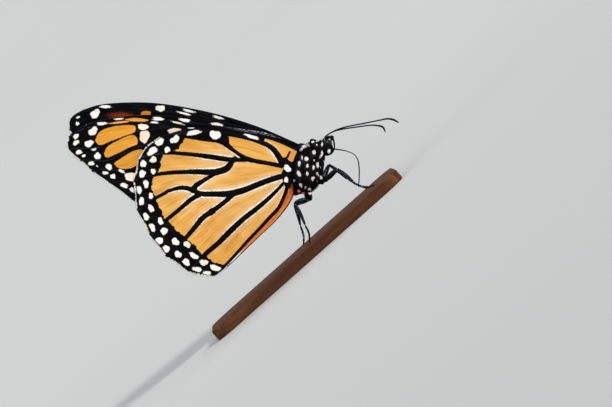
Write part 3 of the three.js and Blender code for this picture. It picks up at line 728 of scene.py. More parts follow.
def nearestOn(spots, line):
    # the distance from each spot to a line, and the share of the line walked to get there
    best, share = np.full(len(spots), 1e6), np.zeros(len(spots))
    for k, (a, b) in enumerate(zip(line[:-1], line[1:])):
        run = b - a
        s = np.clip(((spots - a) @ run) / max(run @ run, 1e-12), 0, 1)
        gap = np.hypot(*(spots - a - s[:, None] * run).T)
        closer = gap < best
        best[closer], share[closer] = gap[closer], (k + s[closer]) / (len(line) - 1)
    return best, share


def within(spots, corners):
    inside = np.zeros(len(spots), bool)
    for (x0, y0), (x1, y1) in zip(corners, np.roll(corners, -1, 0)):
        crosses = (y0 > spots[:, 1]) != (y1 > spots[:, 1])
        inside ^= crosses & (spots[:, 0] < (x1 - x0) * (spots[:, 1] - y0) / (y1 - y0 + 1e-12) + x0)
    return inside


def patchDepth(spots, corners):
    # how deep a spot lies inside a smooth closed outline, negative outside it
    ring = respaced(smooth(np.vstack([corners, corners[:1]]), np.linspace(0, 1, 200)), 90)
    gap = nearestOn(spots, ring)[0]
    return np.where(within(spots, ring[:-1]), gap, -gap)


def dotDepth(spots, centre, long, wide, tilt, phases):
    # a rounded, uneven spot
    c, s = math.cos(tilt), math.sin(tilt)
    away = spots - centre
    x, y = (away @ (c, s)) / (long / 2), (away @ (-s, c)) / (wide / 2)
    turn = np.arctan2(y, x)
    waves = zip((2, 3, 5), (0.06, 0.08, 0.05), phases)
    uneven = sum(share * np.sin(k * turn + phase) for k, share, phase in waves)
    return (1 - (np.abs(x) ** 2.5 + np.abs(y) ** 2.5) ** 0.4 / (0.95 + uneven)) * min(long, wide) / 2


def dotsOn(spots, dots, margin):
    depth = np.full(len(spots), -3.0)
    for out, down, long, wide, *tilt in dots:
        if tilt:
            turn = math.radians(tilt[0])
        else:
            near = np.argmin(np.hypot(*(margin - (out, down)).T))
            near = min(max(near, 1), len(margin) - 2)
            turn = math.atan2(*(margin[near + 1] - margin[near - 1])[::-1])
        phases = rng.uniform(0, 2 * math.pi, 3)
        depth = np.maximum(depth, dotDepth(spots, np.array((out, down)), long, wide, turn, phases))
    return depth


def paintSheet(form, sheet, margin):
    # every marking of one wing, over its sheet
    spots = sheet.reshape(-1, 2)
    dark = np.full(len(spots), -9.0)
    vein = np.full(len(spots), 9.0)
    edging = np.zeros(len(spots))
    for line, widths, *sidesPale in form["strokes"]:
        points = evenly(line, 44)
        gap, share = nearestOn(spots, points)
        depth = smooth(widths, share) / 2 - gap
        above, below = (np.maximum(smooth(pale, share), 0) for pale in sidesPale or ((0, 0), (0, 0)))
        at = np.minimum((share * (len(points) - 1)).astype(int), len(points) - 2)
        run, away = (points[1:] - points[:-1])[at], spots - points[at]
        under = run[:, 0] * away[:, 1] - run[:, 1] * away[:, 0] > 0
        edging = np.where(depth > dark, np.where(under, below, above), edging)
        dark = np.maximum(dark, depth)
        vein = np.minimum(vein, gap)
    border = evenly(form["border"], 120)
    gap, share = nearestOn(spots, border)
    beyond = within(spots, np.vstack([border, form["borderFar"]]))
    wavy = 0.12 * np.sin(share * 75) + 0.1 * np.sin(share * 171 + 1) + 0.07 * np.sin(share * 320 + 2)
    borderDepth = np.where(beyond, gap, -gap) + wavy
    edging *= step(0.6, 6.0, -borderDepth)
    dark = np.maximum(dark, borderDepth)
    for window in form["windows"]:
        depth = patchDepth(spots, window)
        dark = np.where(depth > -0.6, np.minimum(dark, -depth), dark)
    paints = {"dark": dark, "vein": vein, "border": borderDepth, "edging": edging * wing["edging"],
              "white": dotsOn(spots, form["dots"], margin),
              "insideWhite": dotsOn(spots, form["insideDots"], margin),
              "insideDark": np.full(len(spots), -9.0), "warm": np.full(len(spots), form["warmAll"])}
    for field in ("shadedEmber", "chestnut", "blanch", "paintedGleam", "cream"):
        paints[field] = np.zeros(len(spots))
    for x, y, reach, share in form["creams"]:
        paints["cream"] = np.maximum(paints["cream"], roundShare(spots, (x, y), reach, 0.5) * share)
    return paints


def mapOf(form, spots):
    # where a spot of the sheet lies in the left half of the wing's map
    out, down = (spots + (wing["mapBack"], form["mapFoot"])).T
    return np.stack([out / form["mapWidth"], down / (form["mapWidth"] / 2)], 1)


def wrapWing(form, mesh, spots, inner):
    # the inner face lies in the right half of the map, and the rim just outside the outer face
    corner = cornersOf(mesh).reshape(-1, 4)
    flat = mapOf(form, spots)
    uv, innerCorner = flat[corner], inner[corner]
    allIn = innerCorner.all(axis=1)
    rim = innerCorner.any(axis=1) & ~allIn
    outwards = unit(uv - flat.mean(axis=0)) * wing["mapRim"]
    uv = uv + np.where((rim[:, None] & innerCorner)[..., None], outwards, 0)
    uv[allIn, :, 0] += 0.5
    wrap(mesh, uv)


def wingMesh(form, name, side, setting, lift, paints, sheet, steps):
    columns = form["columns"]
    bm = bmesh.new()
    bmesh.ops.create_grid(bm, x_segments=columns, y_segments=steps, size=1)
    bmesh.ops.solidify(bm, geom=bm.faces[:], thickness=0.5)
    grid = np.array([v.co for v in bm.verts])
    column = np.rint((grid[:, 0] + 1) / 2 * columns).astype(int)
    row = np.rint((1 - grid[:, 1]) / 2 * steps).astype(int)
    inner = np.abs(grid[:, 2]) > 0.25
    at = row * (columns + 1) + column
    flatSpots = sheet.reshape(-1, 2)
    spots = flatSpots[at]
    # thin at its edges, raised over the veins and a little slack between them
    toEdge = np.minimum(np.minimum(row, steps - row), columns - column + 0.5) * 0.2
    half = wing["edgeThick"] + (wing["halfThick"] - wing["edgeThick"]) * step(0, 0.9, toEdge)
    ridge = wing["veinRise"] * np.exp(-(paints["vein"][at] / wing["veinRound"]) ** 2) * step(0, 0.8, toEdge)
    share = np.mod(row / (2 * form["perRow"]), 1)
    slack = wing["belly"] * np.sin(math.pi * share) ** 2 * step(0, 6, spots[:, 0]) * step(0, 3, toEdge)
    ripple = 0.05 * np.sin(spots[:, 0] * 0.9 + spots[:, 1] * 1.7) * step(2, 12, spots[:, 0])
    off = np.where(inner, -half - ridge * 0.7, half + ridge) - slack * 0.6 + ripple
    mesh = meshOf(name, bm)
    moveTo(mesh, layOn(form, setting, side, lift, spots, off))
    turned = np.array([p.normal[1] for p in mesh.polygons])
    outerFace = ~inner[cornersOf(mesh).reshape(-1, 4)].any(axis=1)
    if np.sum(turned[outerFace]) * side < 0:
        mesh.flip_normals()
    wrapWing(form, mesh, spots, inner)
    away = inner.astype(float)
    here = {field: values[at] for field, values in paints.items()}
    dark = np.where(inner, np.maximum(here["dark"], here["insideDark"]), here["dark"])
    if form["insideWindow"] is not None:
        opening = patchDepth(flatSpots, form["insideWindow"])[at]
        dark = np.where(inner & (opening > -0.5), np.minimum(dark, -opening), dark)
    give(mesh, "dark", dark)
    give(mesh, "white", np.where(inner, here["insideWhite"], here["white"]))
    give(mesh, "away", away)
    give(mesh, "chestnut", here["chestnut"] * np.maximum(away, form["chestnutOutside"]))
    for field in ("edging", "blanch", "paintedGleam"):
        give(mesh, field, here[field] * (1 - away))
    for field in ("warm", "shadedEmber", "cream", "offLine"):
        give(mesh, field, here[field])
    give(mesh, "lie", np.stack([column / columns * 40, row / form["perRow"], away * 7], 1), "FLOAT_VECTOR")
    return mesh


def tuftShape(bend=0.0):
    # one slender closed lock lying along X, from 0 to 1, about 1 wide and 1 thick
    bm = bmesh.new()
    bmesh.ops.create_uvsphere(bm, u_segments=4, v_segments=3, radius=1)
    ball = np.array([v.co for v in bm.verts])
    along = (1 - ball[:, 2]) / 2
    girth = 0.5 * (1 - 0.45 * along)
    shape = np.stack([along, ball[:, 0] * girth, ball[:, 1] * girth - bend * along ** 2], 1)
    faces = [[v.index for v in face.verts] for face in bm.faces]
    bm.free()
    return shape, faces


def tuftMesh(name, roots, along, upright, sizes, lock, rootPlaces):
    # many copies of a lock in one mesh: sizes is length, width and thickness for each
    shape, faces = lock
    across = unit(np.cross(upright, along))
    spots = roots[:, None]
    for k, way in enumerate((along, across, np.cross(along, across))):
        spots = spots + way[:, None] * (shape[None, :, k:k + 1] * sizes[:, None, k:k + 1])
    index = (np.arange(len(roots))[:, None] * len(shape) + np.concatenate(faces)[None, :]).ravel()
    counts = np.tile([len(face) for face in faces], len(roots))
    mesh = bpy.data.meshes.new(name)
    mesh.vertices.add(len(roots) * len(shape))
    mesh.vertices.foreach_set("co", spots.astype(np.float32).ravel())
    mesh.loops.add(len(index))
    mesh.loops.foreach_set("vertex_index", index.astype(np.int32))
    mesh.polygons.add(len(counts))
    mesh.polygons.foreach_set("loop_start", (np.cumsum(counts) - counts).astype(np.int32))
    mesh.update(calc_edges=True)
    bm = bmesh.new()
    bm.from_mesh(mesh)
    bmesh.ops.recalc_face_normals(bm, faces=bm.faces)
    bm.to_mesh(mesh)
    bm.free()
    # each tuft is a small patch of the map at its root's place
    patch = np.stack([shape[:, 0] - 0.5, shape[:, 1] + shape[:, 2] * 0.4], 1) * 0.003
    places = (rootPlaces[:, None] + patch[None]).reshape(-1, 2)
    wrap(mesh, np.clip(places, 0.001, 0.999)[cornersOf(mesh)])
    return mesh


def fringeMesh(form, name, side, setting, lift, margin, ends):
    # short scales along the outer margin, white beside each pair of dots and black at the veins
    length = np.linalg.norm(np.diff(margin, axis=0), axis=1).sum()
    count = int(length / wing["fringeGap"]) * 2
    share = np.sort(rng.uniform(0.004, 0.996, count))
    root = smooth(margin, share)
    run = unit(smooth(margin, np.minimum(share + 0.004, 1)) - smooth(margin, np.maximum(share - 0.004, 0)))
    outwards = np.stack([run[:, 1], -run[:, 0]], 1)
    outwards *= np.sign(np.sum(outwards * (root - np.array([10.0, 2.0])), axis=1))[:, None]
    cell = np.clip(np.searchsorted(ends, share) - 1, 0, len(ends) - 2)
    inCell = (share - ends[cell]) / (ends[cell + 1] - ends[cell]) + rng.normal(0, 0.015, count)
    white = ((np.abs(inCell - 0.28) < 0.22) | (np.abs(inCell - 0.74) < 0.21)) & (share > form["fringeFrom"])
    heading = unit(outwards + run * rng.normal(0, 0.16, count)[:, None])
    start = root - heading * 0.22
    layer = rng.uniform(-0.045, 0.045, count)
    roots = layOn(form, setting, side, lift, start, layer)
    tips = layOn(form, setting, side, lift, start + heading * 0.5, layer + rng.normal(0, 0.02, count))
    upright = np.tile([0.0, float(side), 0.0], (count, 1))
    lengths = rng.uniform(0.44, 0.54, count) * np.where(white, 1, 0.72)
    sizes = np.stack([lengths, rng.uniform(0.12, 0.17, count), np.full(count, 0.04)], 1)
    lock = tuftShape()
    mesh = tuftMesh(name, roots, unit(tips - roots), upright, sizes, lock, mapOf(form, start))
    give(mesh, "white", np.repeat(white, len(lock[0])))
    give(mesh, "shade", np.repeat(rng.uniform(0, 1, count), len(lock[0])))
    return mesh


def roundShare(spots, centre, reach, core):
    # 1 round a centre, out to a share of the reach, and 0 past the reach
    return step(reach, reach * core, np.hypot(*(spots - centre).T))


def forePaint(form, spots, paints):
    out, down = spots.T
    centre, long, wide = form["chestnut"]
    paints["chestnut"] = step(1.0, 0.2, np.hypot(*((spots - centre) / (long, wide)).T))
    front = smooth(form["veins"][1], np.linspace(0, 1, 60))
    paints["insideDark"] = np.where(out > 4, 2.3 - nearestOn(spots, front)[0], 0.4)
    offLine = down - np.interp(out, *np.transpose(form["gleamLine"]))
    paints["offLine"] = np.where(out > 22, paints["vein"], offLine)
    # painted highlights, bright in lines beside the front veins and faint on the veins through the border
    faint = step(28, 36, out) * step(0.3, 0.8, paints["border"]) * 0.07
    paints["paintedGleam"] = step(3, 5, out) * step(17, 12, out) + faint


def hindPaint(form, spots, paints):
    # the fold along the body is painted in ember, a painted shade with reddish reflected light, turns
    # chestnut towards the root as a painted shadow, and is whitish at its end
    out, down = spots.T
    fold = evenly(form["veins"][-2], 60)
    gap = nearestOn(spots, fold)[0]
    strip = within(spots, np.vstack([fold, form["foldFar"]])) * step(0.1, 0.4, gap)
    # the lobe at the front of the root gets painted shade as well
    centre, reach, share = form["lobe"]
    shaded = roundShare(spots, centre, reach, 0.4) * share
    paints["shadedEmber"] = np.maximum(strip * (0.8 + 0.2 * np.sin(gap * 9)), shaded)
    # painted shadow: the fold turns chestnut towards the root
    paints["chestnut"] = strip * step(8.0, 3.5, down) * 0.75
    paints["blanch"] = strip * step(9.5, 11.5, out)
    (x, y), reach, share = form["pouchMark"]
    paints["warm"] = step(reach, 0.25, np.hypot(out - x, (down - y) * 0.5)) * share
    # deeper gold at the root, along the front edge and towards the hind edge
    for share in (step(5, 0, np.hypot(out, down)) * 0.5, step(-4, -6, down) * 0.32,
                  step(8, 13, down) * 0.25):
        paints["warm"] = np.maximum(paints["warm"], share)
    paints["offLine"] = paints["vein"]
    # painted highlights, faint on the veins through the border
    paints["paintedGleam"] = step(0.3, 0.8, paints["border"]) * 0.06


def buildWings():
    for kind, form, setting, morePaint in (("fore", foreWing, foreSetting, forePaint),
                                           ("hind", hindWing, hindSetting, hindPaint)):
        sheet, steps = sheetOf(form)
        margin = sheet[:, -1]
        paints = paintSheet(form, sheet, margin)
        morePaint(form, sheet.reshape(-1, 2), paints)
        walked = np.concatenate([[0], np.cumsum(np.linalg.norm(np.diff(margin, axis=0), axis=1))])
        ends = walked[::2 * form["perRow"]] / walked[-1]
        evenMargin = respaced(margin, 240)
        for name, side in sides.items():
            lift = wing["lift"] + (wing["spread"] if kind == "fore" and side > 0 else 0)
            piece = f"{kind}wing_{name}"
            mesh = wingMesh(form, piece, side, setting, lift, paints, sheet, steps)
            place(f"{piece}_sheet", mesh, materials["wing"], "wing", [piece])
            fringe = fringeMesh(form, piece, side, setting, lift, evenMargin, ends)
            place(f"{piece}_fringe", fringe, materials["fringe"], "wing")
    print("wings made")


# Body

# each part's route, its half widths, its half heights and how full its ends are
body = {
    "coatDepth": 0.28, "headDepth": 0.16, "voxel": 0.14,
    "head": ([(15.1, 0, 13.15), (17.2, 0, 13.5), (19.2, 0, 13.85)], [1.3, 1.55, 1.55, 1.4, 0.95],
             [1.9, 2.1, 2.1, 1.8, 1.15], 0.6),
    "neck": ([(14.0, 0, 14.5), (16.7, 0, 14.1)], [2.3, 2.2, 1.4], [2.75, 2.85, 2.1], 0.45),
    "thorax": ([(3.6, 0, 11.7), (6.5, 0, 12.2), (9.5, 0, 12.9), (12.5, 0, 13.9), (15.2, 0, 14.7)],
               [2.0, 2.8, 2.95, 2.9, 2.4], [2.6, 4.5, 4.7, 4.1, 2.9], 0.55),
    "abdomen": ([(4.6, 0, 12.1), (-4, 0, 11.7), (-13.2, 0, 10.9)], [1.4, 2.15, 2.3, 2.3, 2.2, 2.0, 1.5],
                [1.46, 2.24, 2.4, 2.4, 2.29, 2.08, 1.56], 0.5),
    "ringCount": 8, "ringStart": 0.1, "ringDepth": 0.035,
    "mapBack": 14.5, "mapLength": 35.5, "mapRound": 0.93,
}
# side view X and Z, length, width and tilt in degrees of each mark, and 0 white, 1 cream, 2 white under
# painted reddish reflected light or 3 grey
bodyMarks = [
    (15.5, 16.25, 0.65, 0.45, -42, 0), (15.7, 15.2, 0.35, 0.3, 48, 1), (13.4, 16.75, 1.4, 0.62, -42, 0),
    (12.45, 16.7, 0.85, 0.75, 48, 0), (14.25, 14.4, 1.05, 0.75, 38, 0), (15.05, 12.8, 1.7, 0.58, 40, 0),
    (11.95, 14.45, 1.0, 0.85, 58, 0), (13.0, 13.1, 0.34, 0.3, 48, 0), (11.4, 15.3, 1.0, 0.28, 55, 1),
    (10.0, 14.7, 1.2, 0.55, 50, 0), (11.05, 13.1, 0.7, 0.6, 48, 0), (11.8, 11.95, 1.0, 0.48, 50, 0),
    (12.85, 11.7, 1.2, 0.62, 53, 0), (13.5, 10.9, 0.5, 0.3, 48, 3), (9.9, 11.85, 0.85, 0.6, 48, 1),
    (11.5, 10.4, 0.6, 0.4, 48, 0), (8.5, 13.1, 1.35, 0.75, 75, 0), (10.1, 10.25, 0.95, 0.75, 48, 1),
    (10.5, 9.1, 0.45, 0.32, -42, 0), (7.15, 10.9, 0.95, 0.55, 75, 0),
    (7.55, 9.8, 0.7, 0.45, 48, 3), (6.75, 12.7, 0.6, 0.4, 48, 3),
    (5.9, 10.2, 0.85, 0.7, 48, 2), (6.25, 9.3, 0.75, 0.62, 48, 2), (6.6, 8.85, 0.6, 0.34, 48, 0),
    (16.8, 12.3, 0.95, 0.68, 48, 0), (16.7, 14.5, 0.85, 0.36, 48, 0), (17.25, 15.35, 0.34, 0.32, 0, 3),
    (17.95, 14.9, 0.5, 0.26, -42, 0), (18.52, 14.16, 0.5, 0.4, 48, 0), (18.98, 14.28, 0.34, 0.26, 48, 0),
    (1.2, 13.0, 0.5, 0.36, 0, 1), (-1.6, 12.9, 0.5, 0.36, 0, 1), (-4.3, 12.7, 0.5, 0.36, 0, 1),
    (-7.0, 12.4, 0.45, 0.34, 0, 1), (-9.5, 12.0, 0.4, 0.3, 0, 1), (2.2, 10.6, 1.0, 0.5, 10, 1),
    (-0.6, 10.5, 0.9, 0.45, 5, 1), (-3.2, 10.4, 0.9, 0.45, 3, 1),
    (-5.8, 10.2, 0.9, 0.45, 0, 1), (-8.3, 10.0, 0.8, 0.4, 0, 1), (-10.6, 9.8, 0.7, 0.35, 0, 1),
]
# X and Y, length and width of each mark on top of the head, all white
topMarks = [(17.3, 0.5, 0.42, 0.32), (16.2, 0.75, 0.45, 0.32)]
# X, Y and Z, length, width and tilt of each mark on the hips, all white
hipMarks = [(11.5, -2.3, 9.35, 0.75, 0.48, 58), (7.75, -2.15, 8.65, 1.35, 0.7, 48)]


def bodyHull(part, grow, around, rings, ringed=False):
    points, halfWidth, halfHeight, fullness = body[part]

    def overlapping(t, spin):
        # each ring overlaps the next one behind it
        saw = np.mod(t * body["ringCount"] + body["ringStart"], 1)
        return 1 - body["ringDepth"] * (1 - saw) ** 2 * 1.2
    return tube(points, halfWidth, halfHeight, around=around, rings=rings, fullness=fullness, grow=grow,
                form=overlapping if ringed else None)


def tegula(side):
    # the scale that covers a forewing's hinge
    return tube([(14.1, side * 1.3, 16.6), (12.7, side * 1.9, 17.2), (11.2, side * 1.9, 16.8)],
                [0.5, 0.9, 0.5], [0.6, 0.9, 0.6], around=16, rings=12, fullness=0.7, grow=-0.15)


def skinMesh():
    inset = -body["coatDepth"]
    parts = [bodyHull("head", -body["headDepth"], 40, 30), bodyHull("neck", inset, 40, 20),
             bodyHull("thorax", inset, 48, 48), bodyHull("abdomen", inset * 0.6, 40, 160, True)]
    mesh = joined("body", parts + [tegula(side) for side in sides.values()])
    obj = bpy.data.objects.new("body", mesh)
    scene.collection.objects.link(obj)
    remesh = obj.modifiers.new("one skin", "REMESH")
    remesh.mode, remesh.voxel_size = "VOXEL", body["voxel"]
    even = obj.modifiers.new("even", "SMOOTH")
    even.factor, even.iterations = 0.5, 3
    graph = bpy.context.evaluated_depsgraph_get()
    whole = bpy.data.meshes.new_from_object(obj.evaluated_get(graph))
    bpy.data.objects.remove(obj)
    return whole


def bodyUnwrap(spots):
    # along the body, and round it from underneath
    middle = np.interp(spots[:, 0], [-13, -4, 4, 10, 16, 19], [10.9, 11.7, 12.0, 13.0, 14.2, 13.5])
    around = np.mod(np.arctan2(spots[:, 1], -(spots[:, 2] - middle)) / (2 * math.pi) + 1, 1)
    along = (spots[:, 0] + body["mapBack"]) / body["mapLength"]
    return np.stack([along, 0.02 + body["mapRound"] * around], 1)


def markCentres(tree):
    # every mark's place on the skin, its long way and its cross way, on both sides
    found = []

    def add(spot, normal, tilt, long, wide, kind=0):
        turn = math.radians(tilt)
        heading = np.array([math.cos(turn), 0, math.sin(turn)])
        lengthwise = unit(heading - normal * (heading @ normal))
        found.append((spot, lengthwise, np.cross(normal, lengthwise), long, wide, kind))
    for x, z, long, wide, tilt, kind in bodyMarks:
        spot, normal, *_ = tree.ray_cast(Vector((x, -12, z)), Vector((0, 1, 0)))
        if spot is not None:
            for flip in ((1, 1, 1), (1, -1, 1)):
                add(np.array(spot) * flip, np.array(normal) * flip, tilt, long, wide, kind)
    for x, y, z, long, wide, tilt in hipMarks:
        for side in (1, -1):
            add(np.array([x, y * side, z]), np.array([0, -1, 0]), tilt, long, wide)
    for x, y, long, wide in topMarks:
        for side in (1, -1):
            spot, normal, *_ = tree.ray_cast(Vector((x, side * y, 30)), Vector((0, 0, -1)))
            if spot is not None:
                add(np.array(spot), np.array(normal), 0, long, wide)
    return found


def marksOn(spots, found):
    # how deep each spot lies inside a mark, negative outside, and the kind of that mark
    depth, kinds = np.full(len(spots), -2.0), np.zeros(len(spots))
    for centre, lengthwise, crosswise, long, wide, kind in found:
        near = np.nonzero(np.abs(spots - centre).max(axis=1) < long)[0]
        away = spots[near] - centre
        x, y = away @ lengthwise / (long / 2), away @ crosswise / (wide / 2)
        inside = (1 - np.hypot(x, y)) * wide / 2
        better = inside > depth[near]
        depth[near[better]], kinds[near[better]] = inside[better], kind
    return depth, kinds


eye = {"middle": (17.72, 1.12, 13.95), "radii": (0.86, 0.82, 1.0)}
coats = {
    # from where to where, how many tufts, a tuft's length, width and thickness, and its rise in degrees
    "head": {"range": (15.3, 30), "count": 11500, "size": (0.36, 0.08, 0.04), "rise": 18},
    "thorax": {"range": (3.4, 15.3), "count": 12000, "size": (0.78, 0.105, 0.055), "rise": 20},
    "abdomen": {"range": (-30, 3.4), "count": 11000, "size": (0.6, 0.12, 0.04), "rise": 10},
}


def furrow(spots, normals):
    # the way the coat lies: back from the face, over the head, down the sides and along the body
    back = np.tile([-1.0, 0.0, -0.12], (len(spots), 1))
    face = unit(spots - np.array([19.6, 0, 13.2]))
    share = step(15.5, 17.0, spots[:, 0])[:, None]
    way = back * (1 - share) + face * share
    way[:, 2] -= 0.35 * step(3, 6, spots[:, 0]) * (1 - share[:, 0]) * np.abs(normals[:, 1])
    return unit(way - normals * np.sum(way * normals, axis=1, keepdims=True))


def scattered(skin, low, high, count):
    # random roots on the skin between two places along the body, and the skin's normals there
    skin.calc_loop_triangles()
    corners = np.array([t.vertices[:] for t in skin.loop_triangles])
    places = spotsOf(skin)
    a, b, c = (places[corners[:, k]] for k in range(3))
    normals = np.cross(b - a, c - a)
    middle = (a + b + c)[:, 0] / 3
    area = np.where((middle >= low) & (middle < high), np.linalg.norm(normals, axis=1), 0)
    chosen = rng.choice(len(area), count, p=area / area.sum())
    u, v = rng.uniform(size=(2, count, 1))
    over = (u + v) > 1
    u, v = np.where(over, 1 - u, u), np.where(over, 1 - v, v)
    return a[chosen] + (b - a)[chosen] * u + (c - a)[chosen] * v, unit(normals[chosen])


def coatMesh(name, plan, skin, found):
    roots, normal = scattered(skin, *plan["range"], plan["count"])
    # none over the eyes
    folded = np.stack([roots[:, 0], np.abs(roots[:, 1]), roots[:, 2]], 1)
    keep = np.linalg.norm((folded - eye["middle"]) / eye["radii"], axis=1) > 1.02
    roots, normal = roots[keep], normal[keep]
    count = len(roots)
    way = furrow(roots, normal)
    above = normal[:, 2] > 0
    fromMark = marksOn(roots, found)[0]
    length, width, thick = plan["size"]
    lengths = length * rng.uniform(0.7, 1.25, count)
    rise = np.full(count, plan["rise"], float)
    mist = np.zeros(count)
    if name == "head":
        # a tuft of longer scales on the brow, between the palps and the feelers
        x, y, z = folded[keep].T
        brow = step(18.2, 18.8, x) * step(0.9, 0.6, y) * step(13.2, 13.8, z)
        way = unit(way * (1 - brow[:, None]) + unit((0.8, 0, 0.25) - normal * 0.3) * brow[:, None])
        lengths *= 1 + 0.7 * brow
        rise += 26 * brow
    if name == "thorax":
        # long soft hair over the back and the breast; on top some of it is tinted grey-mauve, partly a
        # painted backlight
        crest = np.maximum(step(0.45, 0.9, normal[:, 2]), step(0.75, 0.98, -normal[:, 2]) * 0.7)
        longer = (rng.uniform(size=count) < 0.5 * crest) & (fromMark < -0.5)
        lengths = np.where(longer, lengths * rng.uniform(1.3, np.where(above, 2.0, 1.5), count), lengths)
        backlitMist = longer & above & (rng.uniform(size=count) < 0.6)
        mist = np.where(backlitMist, rng.uniform(0.3, 0.9, count), 0)
        rise = np.where(longer, np.where(above, 38, 22), rise)
    # beside the marks the hair is short and lies flat, so that it doesn't hide them
    onTop = (np.abs(roots[:, 1]) < 0.7) & (normal[:, 2] > 0.3)
    beside = (fromMark > -0.4) & ~onTop
    lengths = np.where(beside, np.minimum(lengths, length) * 0.7, lengths)
    rise = np.where(beside, 5, rise + rng.normal(0, 6, count))
    way = unit(way + np.cross(normal, way) * rng.normal(0, 0.2, (count, 1)))
    flatter = np.minimum(lengths, length * 0.6)
    depth, kinds = marksOn(roots + way * (flatter * 0.5)[:, None], found)
    white = depth + rng.normal(0, 0.03, count) > 0.04
    # a mark's own scales lie flatter and broader, over their neighbours
    lengths = np.where(white, flatter, lengths)
    lay = np.radians(np.where(white, 6, rise))[:, None]
    widths = width * rng.uniform(0.8, 1.2, count) * np.where(white, 1.8, 1.0)
    sizes = np.stack([lengths, widths, np.full(count, thick)], 1)
    lifted = np.where(white, 0.09, np.where(beside, -0.05, -0.03))[:, None]
    along = way * np.cos(lay) + normal * np.sin(lay)
    lock = tuftShape(0.9)
    mesh = tuftMesh(name, roots + normal * lifted, along, normal, sizes, lock, bodyUnwrap(roots))
    if name == "abdomen":
        # grey over the black scales, a painted sheen, paler in a band at the end of each ring
        front, back = (body["abdomen"][0][k][0] for k in (0, -1))
        saw = np.mod((front - roots[:, 0]) / (front - back) * body["ringCount"] + body["ringStart"], 1)
        mist = np.where(saw > 0.78, rng.uniform(0.3, 0.8, count), rng.uniform(0.02, 0.3, count))
    clumps = 0.5 + 0.25 * np.sin(roots @ (3.1, 4.3, 1.7)) + 0.25 * np.sin(roots @ (-2.3, 3.7, 4.9) + 1)
    paintTufts(mesh, len(lock[0]), white, kinds, np.where(white, 0, mist), clumps)
    return mesh


def paintTufts(mesh, each, white, kinds, mist, clumps):
    # one value for each tuft, on all of its points
    count = len(white)
    paints = {"white": white, "mist": mist, "cream": (kinds == 1) * rng.uniform(0.1, 0.8, count),
              "reflected": (kinds == 2) * rng.uniform(0.6, 1, count),
              "grey": (kinds == 3) * rng.uniform(0.2, 0.7, count),
              "shade": rng.uniform(0, 1, count) ** 1.5 * clumps * 1.4}
    for field, values in paints.items():
        give(mesh, field, np.repeat(values, each))


def furSleeve(points, radii, count, size, fullness, marks):
    # a scaled limb: its core, and tufts that lie along it; marks says which are white, and of what kind
    core = meshOf("core", tube(points, radii, around=24, rings=30, fullness=fullness))
    line = route(points, 200)
    share = rng.uniform(0.01, 0.98, count)
    spin = rng.uniform(0, 2 * math.pi, count)
    at = np.rint(share * (len(line) - 1)).astype(int)
    along = unit(np.gradient(line, axis=0))[at]
    across = unit(np.array([0, 1, 0]) - along * along[:, 1:2])
    normal = across * np.cos(spin)[:, None] + np.cross(along, across) * np.sin(spin)[:, None]
    girth = smooth(radii, share) * np.clip(4 * share * (1 - share), 0, 1) ** (fullness / 2) - 0.02
    roots = line[at] + normal * girth[:, None]
    white, kinds = marks(roots, normal, share)
    sizes = np.array(size) * rng.uniform(0.75, 1.2, (count, 3))
    sizes[:, 1] *= np.where(white, 1.3, 1.0)
    lock = tuftShape(0.6)
    coat = tuftMesh("coat", roots, unit(along + normal * 0.24), normal, sizes, lock,
                    np.stack([0.05 + 0.9 * share, 0.05 + 0.9 * spin / (2 * math.pi)], 1))
    paintTufts(coat, len(lock[0]), white, kinds, np.zeros(count), rng.uniform(0.2, 1, count))
    give(core, "white", np.full(len(core.vertices), -1.0))
    return core, coat


def wrapSkin(skin, spots):
    # faces that cross the seam underneath stay in one piece
    uv = bodyUnwrap(spots)[cornersOf(skin)]
    start = np.empty(len(skin.polygons), np.int32)
    skin.polygons.foreach_get("loop_start", start)
    owner = np.repeat(np.arange(len(start)), np.diff(np.append(start, len(uv))))
    highest = np.maximum.reduceat(uv[:, 1], start)[owner]
    uv[:, 1] += np.where((highest - uv[:, 1]) > 0.5, body["mapRound"], 0)
    wrap(skin, uv)


def buildBody():
    skin = skinMesh()
    spots = spotsOf(skin)
    tree = BVHTree.FromPolygons([tuple(s) for s in spots], [tuple(p.vertices) for p in skin.polygons])
    found = markCentres(tree)
    for name, plan in coats.items():
        place(f"coat_{name}", coatMesh(name, plan, skin, found), materials["coat"], "body_fur")
    depth, kinds = marksOn(spots, found)
    paints = {"white": depth, "cream": kinds == 1, "reflected": kinds == 2, "grey": (kinds == 3) * 0.5}
    for field, values in paints.items():
        give(skin, field, values)
    wrapSkin(skin, spots)
    place("body_skin", skin, materials["skin"], "body_fur",
          ["head", "neck", "thorax", "abdomen_front", "abdomen_middle", "abdomen_tip"])
    print("body made")
    return found


marksFound = buildBody()
buildWings()


# Head parts

def buildEyes():
    for name, side in sides.items():
        bm = bmesh.new()
        bmesh.ops.create_uvsphere(bm, u_segments=64, v_segments=40, radius=1)
        x, y, z = eye["middle"]
        bmesh.ops.scale(bm, verts=bm.verts, vec=eye["radii"])
        bmesh.ops.translate(bm, verts=bm.verts, vec=(x, side * y, z))
        place(f"eye_{name}_ball", meshOf("eye", bm), materials["eye"], "eye", [f"eye_{name}"])
    print("eyes made")


